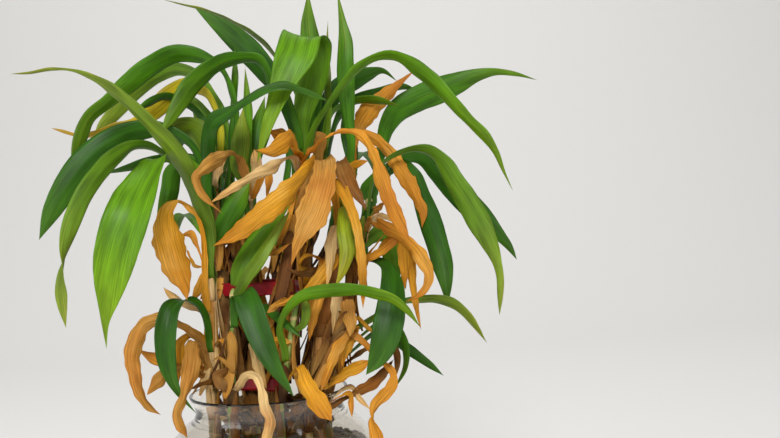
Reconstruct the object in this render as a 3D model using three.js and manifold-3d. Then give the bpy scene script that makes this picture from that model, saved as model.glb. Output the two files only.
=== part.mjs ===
// A potted lucky bamboo that is dying back: canes with green and dried leaves, standing in gravel
// in a round glass bowl with a flared rim. Millimetres, +Z up, origin at the centre of the bowl's foot.
import * as THREE from "three";
import { mergeVertices } from "three/addons/utils/BufferGeometryUtils.js";
import Module from "manifold-3d";

const wasm = await Module();
wasm.setup();

// Driving dimensions of the bowl
const BODY_RADIUS = 89;
const FOOT_RADIUS = 45;
const RIM_HEIGHT = 165;
const RIM_RADIUS = 55.4;
const NECK_RADIUS = 50.8;
const NECK_HEIGHT = 151.5;
const WALL = 2.6;
const BOWL_SIDES = 22;
const BOWL_TURN = THREE.MathUtils.degToRad(10);
const FLOOR = 5;
const GRAVEL_TOP = 127;
const GRAVEL_DOME = 4;
const GRAVEL_CLEARANCE = 2.2;

// Gap left between pieces that touch
const GAP = 0.4;

// Driving dimensions of the leaves
const BLADE_THICKNESS = 0.9;
const CUP = 0.16;
const SHEATH_RISE = 7;
const END_ON = 0.45;
const SHEATH_WIDTH = 5;

// The viewpoint that the leaves are placed from: the eye, its tilt, and the scale of its picture.
// A leaf's route is a list of places in that picture, each with its true distance behind the bowl's axis.
const EYE = new THREE.Vector3(91.6, -660, 278.8);
const EYE_ROLL = THREE.MathUtils.degToRad(3.3);
const PICTURE_DISTANCE = 941;
const PICTURE_CENTRE = [390, 219];

// The point that is seen at picture place (across, down) and lies y behind the bowl's axis.
function seen(across, down, y) {
  const right = (across - PICTURE_CENTRE[0]) / PICTURE_DISTANCE;
  const up = (PICTURE_CENTRE[1] - down) / PICTURE_DISTANCE;
  const depth = y - EYE.y;
  return new THREE.Vector3(
    EYE.x + depth * (right * Math.cos(EYE_ROLL) + up * Math.sin(EYE_ROLL)),
    y,
    EYE.z + depth * (up * Math.cos(EYE_ROLL) - right * Math.sin(EYE_ROLL)),
  );
}

const colours = {
  glass: { color: 0xdfe6e4, roughness: 0.05, metalness: 0 },
  gravel: { color: 0x8a7a66, roughness: 0.8, metalness: 0 },
  cane: { color: 0xb49a62, roughness: 0.6, metalness: 0 },
  ribbon: { color: 0xa3121f, roughness: 0.4, metalness: 0 },
  green: { color: 0x4d8a1e, roughness: 0.45, metalness: 0 },
  yellow: { color: 0xb9a52a, roughness: 0.5, metalness: 0 },
  dry: { color: 0xd9963a, roughness: 0.7, metalness: 0 },
};
const finish = Object.fromEntries(
  Object.entries(colours).map(([name, look]) => [name, new THREE.MeshStandardMaterial(look)]),
);

// A three.js geometry as a solid, with its shared vertices merged.
function solidOf(geometry) {
  const bare = geometry.clone();
  bare.deleteAttribute("normal");
  bare.deleteAttribute("uv");
  const merged = mergeVertices(bare, 1e-3);
  return new wasm.Manifold(
    new wasm.Mesh({
      numProp: 3,
      vertProperties: new Float32Array(merged.attributes.position.array),
      triVerts: new Uint32Array(merged.index.array),
    }),
  );
}

function geometryOf(solid) {
  const mesh = solid.getMesh();
  return new THREE.BufferGeometry()
    .setAttribute("position", new THREE.BufferAttribute(new Float32Array(mesh.vertProperties), 3))
    .setIndex(new THREE.BufferAttribute(new Uint32Array(mesh.triVerts), 1));
}

// The bowl is blown glass: a cut-off ball, a short neck and a rim that flares out.
const ballHeight = RIM_HEIGHT - 88.5;

function ballArc(radius, fromHeight, toHeight, steps) {
  const start = Math.asin((fromHeight - ballHeight) / radius);
  const end = Math.asin((toHeight - ballHeight) / radius);
  return Array.from({ length: steps + 1 }, (_, i) => {
    const angle = start + ((end - start) * i) / steps;
    return new THREE.Vector2(radius * Math.cos(angle), ballHeight + radius * Math.sin(angle));
  });
}

function bowlProfile() {
  const outside = ballArc(BODY_RADIUS, 1.2, NECK_HEIGHT - 3, 6);
  const inside = ballArc(BODY_RADIUS - WALL, FLOOR, NECK_HEIGHT - 4, 5).reverse();
  return [
    new THREE.Vector2(0, 0),
    new THREE.Vector2(FOOT_RADIUS, 0),
    ...outside,
    new THREE.Vector2(NECK_RADIUS, NECK_HEIGHT + 2),
    new THREE.Vector2(NECK_RADIUS + 1.6, RIM_HEIGHT - 6),
    new THREE.Vector2(RIM_RADIUS, RIM_HEIGHT - 1),
    new THREE.Vector2(RIM_RADIUS - 1, RIM_HEIGHT),
    new THREE.Vector2(RIM_RADIUS - 2.6, RIM_HEIGHT - 0.6),
    new THREE.Vector2(NECK_RADIUS - 1, RIM_HEIGHT - 7),
    new THREE.Vector2(NECK_RADIUS - WALL, NECK_HEIGHT + 1),
    ...inside,
    new THREE.Vector2(0, FLOOR),
  ];
}

const bowlGeometry = new THREE.LatheGeometry(bowlProfile(), BOWL_SIDES, BOWL_TURN).rotateX(Math.PI / 2);

// The gravel fills the ball up to the neck, heaped a little at the middle.
const gravelGeometry = new THREE.LatheGeometry(
  [
    new THREE.Vector2(0, FLOOR + GAP),
    ...ballArc(BODY_RADIUS - WALL - GRAVEL_CLEARANCE, FLOOR + GAP, GRAVEL_TOP, 5),
    new THREE.Vector2(0, GRAVEL_TOP + GRAVEL_DOME),
  ],
  BOWL_SIDES,
  BOWL_TURN,
).rotateX(Math.PI / 2);

// The canes: where each passes the bowl's neck (x, y), where its top is seen, and its radius at the foot.
const CANE_FOOT_HEIGHT = 60;
const CANE_FOOT_SHARE = 0.88;
const CANE_BEND_HEIGHT = 158;
const CANE_TAPER = 0.62;
const CANE_SIDES = 6;
const canes = {
  cane_left: { neck: [-37, -16], top: [211, 256, -18], radius: 4.4 },
  cane_front_left: { neck: [-20, -36], top: [233, 288, -36], radius: 3.8 },
  cane_front_right: { neck: [12, -38], top: [297, 296, -42], radius: 3.5 },
  cane_trunk: { neck: [33, -14], top: [334, 250, -16], radius: 7.6 },
  cane_right: { neck: [40, 7], top: [370, 196, 6], radius: 4.4 },
  cane_centre: { neck: [3, -14], top: [303, 152, -8], radius: 4.6 },
  cane_centre_back: { neck: [4, 14], top: [321, 165, 24], radius: 4.4 },
  cane_right_centre: { neck: [26, 9], top: [352, 168, 4], radius: 4.3 },
  cane_left_tall: { neck: [-27, 1], top: [213, 168, -2], radius: 4.4 },
  cane_left_back: { neck: [-18, 22], top: [229, 165, 26], radius: 4.2 },
  cane_middle: { neck: [-9, 1], top: [250, 180, 4], radius: 4.4 },
  cane_back_right: { neck: [22, 32], top: [338, 200, 48], radius: 4.2 },
  cane_back: { neck: [-1, 37], top: [278, 205, 58], radius: 4.2 },
  cane_right_front: { neck: [30, -31], top: [350, 304, -31], radius: 3.4 },
};

for (const cane of Object.values(canes)) {
  const [x, y] = cane.neck;
  cane.foot = new THREE.Vector3(x, y, 0).multiplyScalar(CANE_FOOT_SHARE).setZ(CANE_FOOT_HEIGHT);
  cane.bend = new THREE.Vector3(x, y, CANE_BEND_HEIGHT);
  cane.tip = seen(...cane.top);
}

function caneAxis(cane, height) {
  const [low, high] = height < CANE_BEND_HEIGHT ? [cane.foot, cane.bend] : [cane.bend, cane.tip];
  return low.clone().lerp(high, (height - low.z) / (high.z - low.z));
}

function caneRadius(cane, height) {
  const share = (height - CANE_FOOT_HEIGHT) / (cane.tip.z - CANE_FOOT_HEIGHT);
  return cane.radius * (1 - (1 - CANE_TAPER) * THREE.MathUtils.clamp(share, 0, 1));
}

// A cane is a tapered stick that leans outward above the neck, with a blunt top. grown widens it.
function caneGeometry(cane, grown = 0) {
  const shoulder = cane.tip.z - 0.6 * cane.radius;
  const positions = [CANE_FOOT_HEIGHT, CANE_BEND_HEIGHT, shoulder, cane.tip.z].flatMap((height) => {
    const centre = caneAxis(cane, height);
    const radius = (caneRadius(cane, height) + grown) * (height > shoulder ? 0.6 : 1);
    return Array.from({ length: CANE_SIDES }, (_, k) => {
      const angle = (2 * Math.PI * k) / CANE_SIDES;
      return centre.clone().add(new THREE.Vector3(Math.cos(angle), Math.sin(angle), 0).multiplyScalar(radius));
    });
  });
  const index = [];
  const top = positions.length - CANE_SIDES;
  for (let i = 0; i < top; i++) {
    const next = i - (i % CANE_SIDES) + ((i + 1) % CANE_SIDES);
    index.push(i, next, i + CANE_SIDES, next, next + CANE_SIDES, i + CANE_SIDES);
  }
  for (let k = 1; k < CANE_SIDES - 1; k++) index.push(0, k + 1, k, top, top + k, top + k + 1);
  return new THREE.BufferGeometry()
    .setAttribute("position", new THREE.Float32BufferAttribute(positions.flatMap((p) => p.toArray()), 3))
    .setIndex(index);
}

// A value along a route, from the values at its points, by a Catmull-Rom curve.
function valueAlong(values, t) {
  const place = t * (values.length - 1);
  const i = Math.min(Math.floor(place), values.length - 2);
  const [a, b, c, d] = [i - 1, i, i + 1, i + 2].map(
    (k) => values[THREE.MathUtils.clamp(k, 0, values.length - 1)],
  );
  const f = place - i;
  return b + 0.5 * f * (c - a + f * (2 * a - 5 * b + 4 * c - d + f * (3 * (b - c) + d - a)));
}

// The direction across a blade: its own fixed one, or turned about the tangent from facing the eye.
// Where the blade runs towards the eye it keeps the direction that it has one ring further out.
function acrossAt(leaf, point, tangent, t, twist, further) {
  const level = (direction) => direction.clone().addScaledVector(tangent, -direction.dot(tangent)).normalize();
  if (leaf.across) {
    const turned = THREE.MathUtils.degToRad(twist);
    return level(new THREE.Vector3(...leaf.across)).applyAxisAngle(tangent, turned);
  }
  const face = tangent.clone().cross(point.clone().sub(EYE).normalize());
  if (further && face.length() < END_ON) return level(further);
  const turns = [leaf.turn ?? 0].flat();
  const turn = THREE.MathUtils.degToRad((turns.length > 1 ? valueAlong(turns, t) : turns[0]) + twist);
  const across = face.normalize().applyAxisAngle(tangent, -turn);
  return further && further.dot(across) < 0 ? across.negate() : across;
}

// A leaf blade: a ring of left edge, right edge and keel at each stop of its route, and a tip.
function bladeGeometry(leaf, shift, slide, twist) {
  const cane = canes[leaf.on];
  const route = leaf.route.map(([u, v, y], i) => seen(u, v, y + shift * Math.min(1, (i + 0.4) / 2)));
  const axis = caneAxis(cane, leaf.from + slide);
  const outward = route[0].clone().sub(axis).setZ(0).normalize();
  const reach = leaf.fused ? 0.3 : caneRadius(cane, leaf.from + slide) + GAP + BLADE_THICKNESS;
  const start = axis.clone().addScaledVector(outward, reach);
  const rise = start.clone().addScaledVector(outward, 1.2).add(new THREE.Vector3(0, 0, SHEATH_RISE));
  const rises = !leaf.fused && route[0].z > start.z + 2 * SHEATH_RISE;
  const points = rises ? [start, rise, ...route] : [start, ...route];
  const widths = leaf.route.map((stop) => stop[3]);
  const width = rises ? [SHEATH_WIDTH, SHEATH_WIDTH, ...widths] : [SHEATH_WIDTH, ...widths];
  const rings = points.length - 1;
  const tangents = points.slice(0, rings).map((point, i) => {
    const ahead = points[i + 1].clone().sub(point).normalize();
    const behind = point.clone().sub(points[Math.max(i - 1, 0)]).normalize();
    return ahead.add(behind).normalize();
  });
  const acrosses = [];
  for (let i = rings - 1; i >= 0; i--) {
    acrosses.unshift(acrossAt(leaf, points[i], tangents[i], i / rings, twist, acrosses[0]));
  }
  const positions = tangents.flatMap((tangent, i) => {
    const across = acrosses[i];
    const normal = across.clone().cross(tangent).normalize();
    const half = width[i] / 2;
    const cup = (leaf.cup ?? CUP) * half * Math.min(1, i / 2);
    const thick = Math.min(BLADE_THICKNESS, half) / 2;
    return [
      points[i].clone().addScaledVector(across, -half).addScaledVector(normal, cup),
      points[i].clone().addScaledVector(across, half).addScaledVector(normal, cup),
      points[i].clone().addScaledVector(normal, -thick),
    ];
  });
  positions.push(points[rings]);
  return closedBlade(positions, rings);
}

// The blade's surface: a base cap, bands of faces from ring to ring, and the fan round its tip. Each
// four-cornered face is split along the diagonal that leaves it bulging outward, so that a twisted
// blade's two sides don't pass through each other.
function closedBlade(positions, rings) {
  const index = [0, 2, 1];
  const bulges = (a, b, c, d) => {
    const [toB, toC, toD] = [b, c, d].map((i) => positions[i].clone().sub(positions[a]));
    return toB.cross(toC).dot(toD) <= 0;
  };
  for (let i = 0; i < rings; i++) {
    for (let k = 0; k < 3; k++) {
      const [a, b] = [3 * i + k, 3 * i + ((k + 1) % 3)];
      if (i === rings - 1) index.push(a, b, 3 * rings);
      else if (bulges(a, b, a + 3, b + 3)) index.push(a, b, a + 3, b, b + 3, a + 3);
      else index.push(a, b, b + 3, a, b + 3, a + 3);
    }
  }
  return new THREE.BufferGeometry()
    .setAttribute("position", new THREE.Float32BufferAttribute(positions.flatMap((p) => p.toArray()), 3))
    .setIndex(index);
}

// The leaves. on and from say which cane a leaf grows on and how high; each stop of its route is
// [picture across, picture down, distance behind the bowl's axis, width]. turn is the angle, in degrees,
// that the blade is turned away from facing the eye, and across a fixed direction across it.
const greenLeaves = {
  leaf_long_arch: {
    on: "cane_left", from: 246, turn: [0, 35, 55, 55, 55], route: [
      [208, 232, -24, 11], [200, 205, -34, 13], [190, 180, -48, 15], [172, 150, -64, 16],
      [152, 128, -68, 16], [132, 108, -70, 14], [112, 91, -70, 11], [92, 78, -68, 7],
      [72, 70.5, -69, 4], [50, 69.5, -69, 3.5], [30, 73, -68, 2.5], [10, 74, -66, 1],
    ],
  },
  leaf_broad_front: {
    on: "cane_left_tall", from: 284, across: [-0.93, -0.1, -0.36], cup: 0.2, route: [
      [196, 170, -18, 8], [178, 160, -24, 11], [161, 157, -44, 17], [150, 170, -68, 24],
      [140, 190, -82, 28], [131, 211, -90, 29],
      [121, 238, -93, 28], [115, 260, -94, 25.5], [111, 282, -94, 20], [108, 303, -93, 12],
      [105.5, 322, -92, 5], [106.5, 349, -90, 1],
    ],
  },
  leaf_arch_top_left: {
    on: "cane_left_tall", from: 292, turn: [60, 60, 55, 25, 10, 20, 30, 40], route: [
      [236, 120, 6, 7], [231, 92, 14, 8], [217, 65, 22, 9], [200, 57, 26, 12], [178, 54, 24, 14],
      [150, 67, 14, 15], [127, 85, 4, 13.5], [108, 102, -6, 10], [90, 117, -14, 10],
      [82, 135, -19, 11], [76, 155, -22, 7], [73, 169, -23, 1],
    ],
  },
  leaf_pale_back_left: {
    on: "cane_left_back", from: 300, turn: [55, 55, 40, 30], route: [
      [222, 112, 36, 6], [212, 94, 44, 7], [196, 76, 52, 10], [174, 70, 58, 12], [155, 78, 60, 13],
      [135, 93, 58, 13], [115, 113, 54, 12], [100, 131, 50, 7], [93, 142, 48, 1],
    ],
  },
  leaf_light_green: {
    on: "cane_middle", from: 312, turn: [50, 50, 45, 20, 0], route: [
      [270, 120, 8, 7], [270, 84, 8, 9], [258, 60, 6, 11], [240, 59, 4, 12], [222, 63, 0, 14],
      [205, 74, -6, 15.5], [190, 88, -12, 15], [178, 106, -16, 11], [168, 122, -18, 6], [161, 134, -19, 1],
    ],
  },
  leaf_yellow: {
    on: "cane_left_tall", from: 300, turn: [50, 50, 35, 10, 40, 60, 50], route: [
      [214, 107, 4, 7], [204, 92, 10, 9], [188, 87, 14, 14], [170, 97, 14, 16], [155, 110, 10, 14],
      [135, 124, 8, 9], [114, 129, 6, 9], [94, 135, 4, 8], [78, 136, 2, 6], [64, 132, 0, 4], [51, 128, 0, 1],
    ],
  },
  leaf_dark_left: {
    on: "cane_left_tall", from: 280, turn: [40, 40, 10, 0, 0], route: [
      [185, 140, -16, 8], [160, 130, -26, 12], [135, 132, -36, 16], [110, 143, -44, 19],
      [85, 163, -50, 20], [65, 189, -54, 17], [50, 215, -56, 11], [39, 240, -57, 1],
    ],
  },
  leaf_twisted_left: {
    on: "cane_left_tall", from: 268, turn: [60, 60, 50, 20, 20, 30, 88, 150, 150], route: [
      [180, 166, -12, 6], [160, 152, -24, 8], [138, 146, -44, 10], [116, 157, -62, 12], [98, 175, -76, 12],
      [84, 195, -84, 12], [75, 215, -86, 11.5], [68, 236, -87, 10], [65, 250, -87, 8], [63.5, 262, -87, 8],
      [61.5, 277, -87, 8.5], [61.5, 291, -86, 8.5], [63, 308, -86, 6], [66, 328, -86, 1],
    ],
  },
  leaf_sharp_bend: {
    on: "cane_left_tall", from: 262, turn: [20, 20, 15, 50, 62, 62, 50, 40], route: [
      [207, 200, -14, 7], [207, 165, -24, 8], [208, 140, -34, 11], [212, 121, -42, 16], [230, 110, -46, 14],
      [248, 98, -48, 11], [266, 88, -49, 11], [284, 84, -49, 10], [300, 89, -47, 8], [315, 95, -45, 5],
      [328, 101, -43, 1],
    ],
  },
  leaf_dark_top_left: {
    on: "cane_centre", from: 290, turn: [30, 20, 0], route: [
      [291, 120, 8, 9], [277, 88, 20, 14], [262, 67, 28, 18], [244, 47, 34, 19], [225, 30, 38, 14.5],
      [208, 17, 40, 7], [195, 8, 41, 1],
    ],
  },
  leaf_folded_bright: {
    on: "cane_centre", from: 302, across: [-0.98, -0.05, 0.19], cup: 0.12, route: [
      [302, 120, -4, 12], [311, 80, -4, 22], [312, 46, -10, 27], [303, 36, -22, 28], [297, 52, -31, 28],
      [285, 78, -35, 19], [276, 102, -37, 12], [266, 130, -38, 7], [257, 164, -38, 1],
    ],
  },
  leaf_upright_top: {
    on: "cane_centre", from: 314, turn: 8, route: [
      [310, 132, 4, 8], [313, 105, 8, 12.5], [312, 75, 10, 14.5], [310, 42, 10, 15], [308, 20, 9, 10],
      [308, 6, 8, 5], [308, -10, 8, 1],
    ],
  },
  leaf_upright_right: {
    on: "cane_right_centre", from: 292, turn: 12, route: [
      [351, 144, -8, 6], [348, 115, -13, 9], [346, 88, -16, 12], [345, 62, -18, 12], [345, 40, -18, 10],
      [342, 20, -18, 5], [337, -10, -18, 1],
    ],
  },
  leaf_arch_right: {
    on: "cane_centre", from: 296, turn: [-50, -55, -60, -45, -40, -40], route: [
      [314, 130, -20, 7], [328, 107, -26, 8], [342, 88, -29, 9], [358, 69, -32, 10], [375, 59, -36, 11],
      [393, 57, -40, 13], [411, 66, -44, 14], [431, 81, -47, 13.5], [451, 102, -50, 12], [470, 122, -52, 9],
      [486, 138, -54, 8], [496, 153, -55, 5], [503, 170, -56, 3], [513, 191, -56, 1],
    ],
  },
  leaf_big_right: {
    on: "cane_right", from: 286, turn: [-10, -25, -20, -20, -50], route: [
      [382, 148, 10, 8], [388, 125, 14, 13], [400, 109, 18, 18], [420, 98, 22, 20], [440, 90, 24, 20.5],
      [460, 82, 26, 16], [478, 75, 27, 10], [495, 72, 27, 6], [515, 74, 26, 3.5], [537, 80, 26, 1],
    ],
  },
  leaf_dark_top_right: {
    on: "cane_centre_back", from: 318, turn: [-10, -10, -30], route: [
      [326, 108, 42, 12], [339, 89, 50, 16], [357, 79, 56, 15.5], [370, 74, 58, 11], [382, 71, 60, 5],
      [397, 81, 60, 1],
    ],
  },
  leaf_dark_back_right: {
    on: "cane_right", from: 292, turn: [-30, -20, -10], route: [
      [395, 168, 22, 7], [406, 158, 30, 9], [421, 158, 36, 11], [437, 173, 38, 15], [456, 193, 40, 18],
      [480, 216, 40, 17], [500, 236, 38, 9], [510, 248, 37, 5], [517, 260, 36, 1],
    ],
  },
  leaf_pale_right: {
    on: "cane_right", from: 276, turn: [-65, -65, -60, -30, -15, -20, -30], route: [
      [383, 164, -10, 7], [399, 154, -16, 9], [416, 150, -22, 11], [431, 153, -26, 13], [442, 163, -28, 14],
      [453, 181, -30, 16], [466, 201, -32, 17], [479, 223, -33, 16.5], [489, 243, -34, 12], [496, 260, -34, 7.5],
      [500, 278, -34, 5.5], [500, 295, -33, 4.5], [499.5, 315, -32, 1],
    ],
  },
  leaf_dark_hanging_right: {
    on: "cane_right", from: 280, turn: [-50, -40, -10, 0, 0], route: [
      [391, 164, 14, 6], [403, 162, 18, 7], [413, 174, 22, 10], [421, 196, 24, 13], [430, 221, 24, 16.5],
      [437, 243, 23, 15.5], [443, 266, 21, 14.5], [446, 284, 19, 9], [447.5, 306, 18, 1],
    ],
  },
  leaf_front_arch: {
    on: "cane_front_right", from: 190, turn: [-20, -30, -45, -45], route: [
      [280, 328, -52, 5], [288, 309, -56, 6], [300, 298, -60, 8], [318, 293, -63, 10], [338, 291, -65, 11.5],
      [358, 291, -66, 11], [377, 295, -66, 10], [393, 300, -66, 8], [406, 310, -65, 5.5], [421, 328, -64, 1],
    ],
  },
  leaf_dark_broad_right: {
    on: "cane_right", from: 250, across: [-0.97, 0.1, -0.22], cup: 0.2, route: [
      [386, 266, -22, 8], [392, 284, -34, 15], [392, 304, -42, 19.5], [389, 324, -46, 21], [384, 344, -48, 18],
      [376, 361, -48, 11], [366, 375, -48, 1],
    ],
  },
  leaf_dark_front: {
    on: "cane_front_left", from: 214, across: [-0.93, -0.05, -0.33], cup: 0.2, route: [
      [236, 300, -47, 8], [244, 294, -57, 14], [249, 305, -63, 17], [255, 322, -67, 17], [262, 340, -70, 15.5],
      [270, 358, -72, 12], [279, 374, -73, 7.5], [287, 386, -73, 4], [294, 397, -73, 1],
    ],
  },
  leaf_hanging_front_left: {
    on: "cane_left", from: 196, across: [-0.97, -0.15, -0.12], cup: 0.25, route: [
      [204, 313, -34, 5], [196, 303, -44, 6], [183, 300, -54, 9], [172, 308, -62, 12.5], [167, 323, -66, 13.5],
      [165.5, 342, -68, 13.5], [167, 361, -69, 12], [171.5, 378, -69, 8], [179, 393, -68, 4],
      [187, 403, -67, 2], [197, 414, -66, 1],
    ],
  },
  back_leaf_high: {
    on: "cane_back", from: 280, turn: [60, 60, 40, 20], route: [
      [284, 200, 75, 8], [292, 150, 92, 12], [303, 108, 112, 15], [309, 84, 132, 15], [311, 82, 152, 12],
      [312, 98, 168, 7], [312, 122, 176, 1],
    ],
  },
  back_leaf_right: {
    on: "cane_back_right", from: 282, across: [0.85, -0.5, 0], route: [
      [340, 192, 68, 8], [352, 162, 90, 13], [365, 152, 114, 16], [377, 166, 136, 15], [384, 190, 148, 9],
      [388, 216, 153, 1],
    ],
  },
  back_leaf_left: {
    on: "cane_left_back", from: 280, across: [0.85, 0.5, 0], route: [
      [226, 190, 50, 8], [214, 152, 74, 13], [202, 126, 100, 17], [190, 122, 124, 16], [179, 142, 142, 11],
      [170, 172, 150, 1],
    ],
  },
  back_leaf_low_left: {
    on: "cane_back", from: 258, across: [0.85, 0.5, 0], route: [
      [272, 240, 72, 8], [260, 214, 92, 12], [247, 206, 112, 14], [238, 218, 130, 11], [233, 243, 140, 1],
    ],
  },
  back_leaf_low_right: {
    on: "cane_back_right", from: 256, across: [0.85, -0.5, 0], route: [
      [342, 236, 64, 8], [351, 222, 86, 13], [359, 228, 106, 14], [363, 252, 120, 9], [365, 283, 126, 1],
    ],
  },
  back_leaf_side_right: {
    on: "cane_right", from: 258, across: [0.95, -0.3, 0], route: [
      [374, 240, 28, 7], [386, 226, 54, 12], [397, 233, 80, 13], [403, 258, 98, 9], [406, 290, 104, 1],
    ],
  },
};

const dryLeaves = {
  dry_leaf_big_left: {
    on: "cane_centre", from: 284, across: [-0.55, -0.12, -0.83], cup: 0.3, route: [
      [313, 163, -30, 10], [311, 170, -50, 17], [296, 188, -60, 17.5], [274, 205, -64, 15.5],
      [253, 220, -66, 13], [234, 234, -66, 10], [213, 246, -65, 4],
    ],
  },
  dry_leaf_big_centre: {
    on: "cane_centre", from: 276, across: [-0.97, -0.05, -0.2], cup: 0.2, route: [
      [325, 160, -44, 12], [325, 173, -60, 16], [320, 194, -70, 19], [313, 214, -73, 20], [305, 230, -74, 14],
      [298, 243, -74, 7], [291, 266, -73, 3],
    ],
  },
  dry_leaf_strip_centre: {
    on: "cane_right_centre", from: 268, turn: [0, 10, 0, 15], route: [
      [338, 182, -50, 8], [349, 203, -58, 7], [357, 228, -60, 6], [361, 254, -61, 6], [363, 284, -61, 5.5],
      [363, 309, -60, 1],
    ],
  },
  dry_leaf_arch_inner: {
    on: "cane_centre", from: 296, turn: [-50, -50, -50, -20, -10, 0], route: [
      [312, 150, -50, 4], [325, 138, -58, 4.5], [342, 132, -62, 4.5], [356, 133, -65, 5.5],
      [367, 143, -67, 8], [375, 160, -68, 9], [382, 182, -68, 10], [391, 205, -67, 10.5],
      [401, 226, -66, 8], [409, 240, -65, 1],
    ],
  },
  dry_leaf_arch_outer: {
    on: "cane_right_centre", from: 302, turn: [-50, -40, -20, -15, -20], route: [
      [358, 134, -14, 5], [371, 137, -26, 7.5], [384, 147, -34, 9.5], [396, 163, -38, 11.5], [407, 180, -40, 11.5],
      [416, 197, -40, 9], [423, 213, -40, 6], [422, 228, -40, 1],
    ],
  },
  dry_leaf_upright: {
    on: "cane_right_centre", from: 298, turn: [-10, -5, 0], cup: 0.35, route: [
      [354, 142, 8, 7], [361, 124, 10, 12], [371, 109, 12, 14.5], [384, 97, 12, 11.5], [397, 85, 12, 6],
      [414, 71, 12, 1],
    ],
  },
  dry_leaf_balloon: {
    on: "cane_left", from: 222, across: [0.98, 0.1, -0.16], cup: 0.5, route: [
      [193, 211, -32, 3], [177, 200, -42, 4], [166, 210, -50, 9], [165, 225, -55, 17], [168, 242, -58, 20],
      [173, 260, -59, 19], [180, 278, -59, 14], [185, 290, -58, 7], [187, 300, -57, 1],
    ],
  },
  dry_leaf_zigzag: {
    on: "cane_left", from: 184, turn: [50, 40, 10, 0, 0, 20, 30], cup: 0.3, route: [
      [180, 326, -46, 7], [160, 320, -56, 9], [146, 324, -60, 9.5], [136, 340, -62, 10.5], [132, 356, -63, 11],
      [135, 375, -64, 8], [140, 394, -64, 7], [149, 407, -63, 5], [161, 415, -62, 1],
    ],
  },
  dry_leaf_over_rim_left: {
    on: "cane_left", from: 176, turn: [10, 0, 20, 40, 20], cup: 0.3, route: [
      [193, 344, -52, 9], [192, 364, -62, 12], [188, 383, -68, 10], [183, 400, -72, 6.5], [178, 414, -76, 6.5],
      [181, 426, -80, 7], [188, 439, -84, 1],
    ],
  },
  dry_leaf_pale_over_rim: {
    on: "cane_front_left", from: 172, turn: [-20, 0, 10, -10, 20], route: [
      [248, 375, -54, 5], [257, 378, -62, 5.5], [262, 392, -66, 5], [265, 408, -70, 6.5], [270, 420, -74, 7],
      [267, 436, -80, 6], [263, 456, -88, 1],
    ],
  },
  dry_leaf_flap_front: {
    on: "cane_front_right", from: 176, across: [-0.8, -0.1, -0.6], cup: 0.25, route: [
      [301, 368, -62, 6], [304, 378, -67, 9], [311, 391, -72, 11.5], [319, 403, -76, 12], [326, 413, -78, 9],
      [332, 421, -79, 4],
    ],
  },
  dry_leaf_twist_right: {
    on: "cane_right_front", from: 204, turn: [0, -30, -10, 0, 88, 160, 170], route: [
      [382, 362, -36, 4], [393, 374, -40, 4.5], [391, 387, -42, 8], [383, 396, -43, 8], [375, 405, -44, 6],
      [373, 418, -44, 8], [376, 432, -44, 9.5], [379, 446, -44, 8], [380, 464, -44, 1],
    ],
  },
  dry_leaf_right_loop: {
    on: "cane_right", from: 272, turn: [-20, -20, -20, -10, 0, 30], route: [
      [376, 222, -22, 8], [390, 230, -28, 8.5], [402, 237, -32, 8], [412, 246, -35, 9], [422, 260, -38, 9.5], [429, 276, -40, 7], [425, 289, -40, 5],
      [416, 297, -39, 3], [405, 302, -38, 1],
    ],
  },
};

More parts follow.
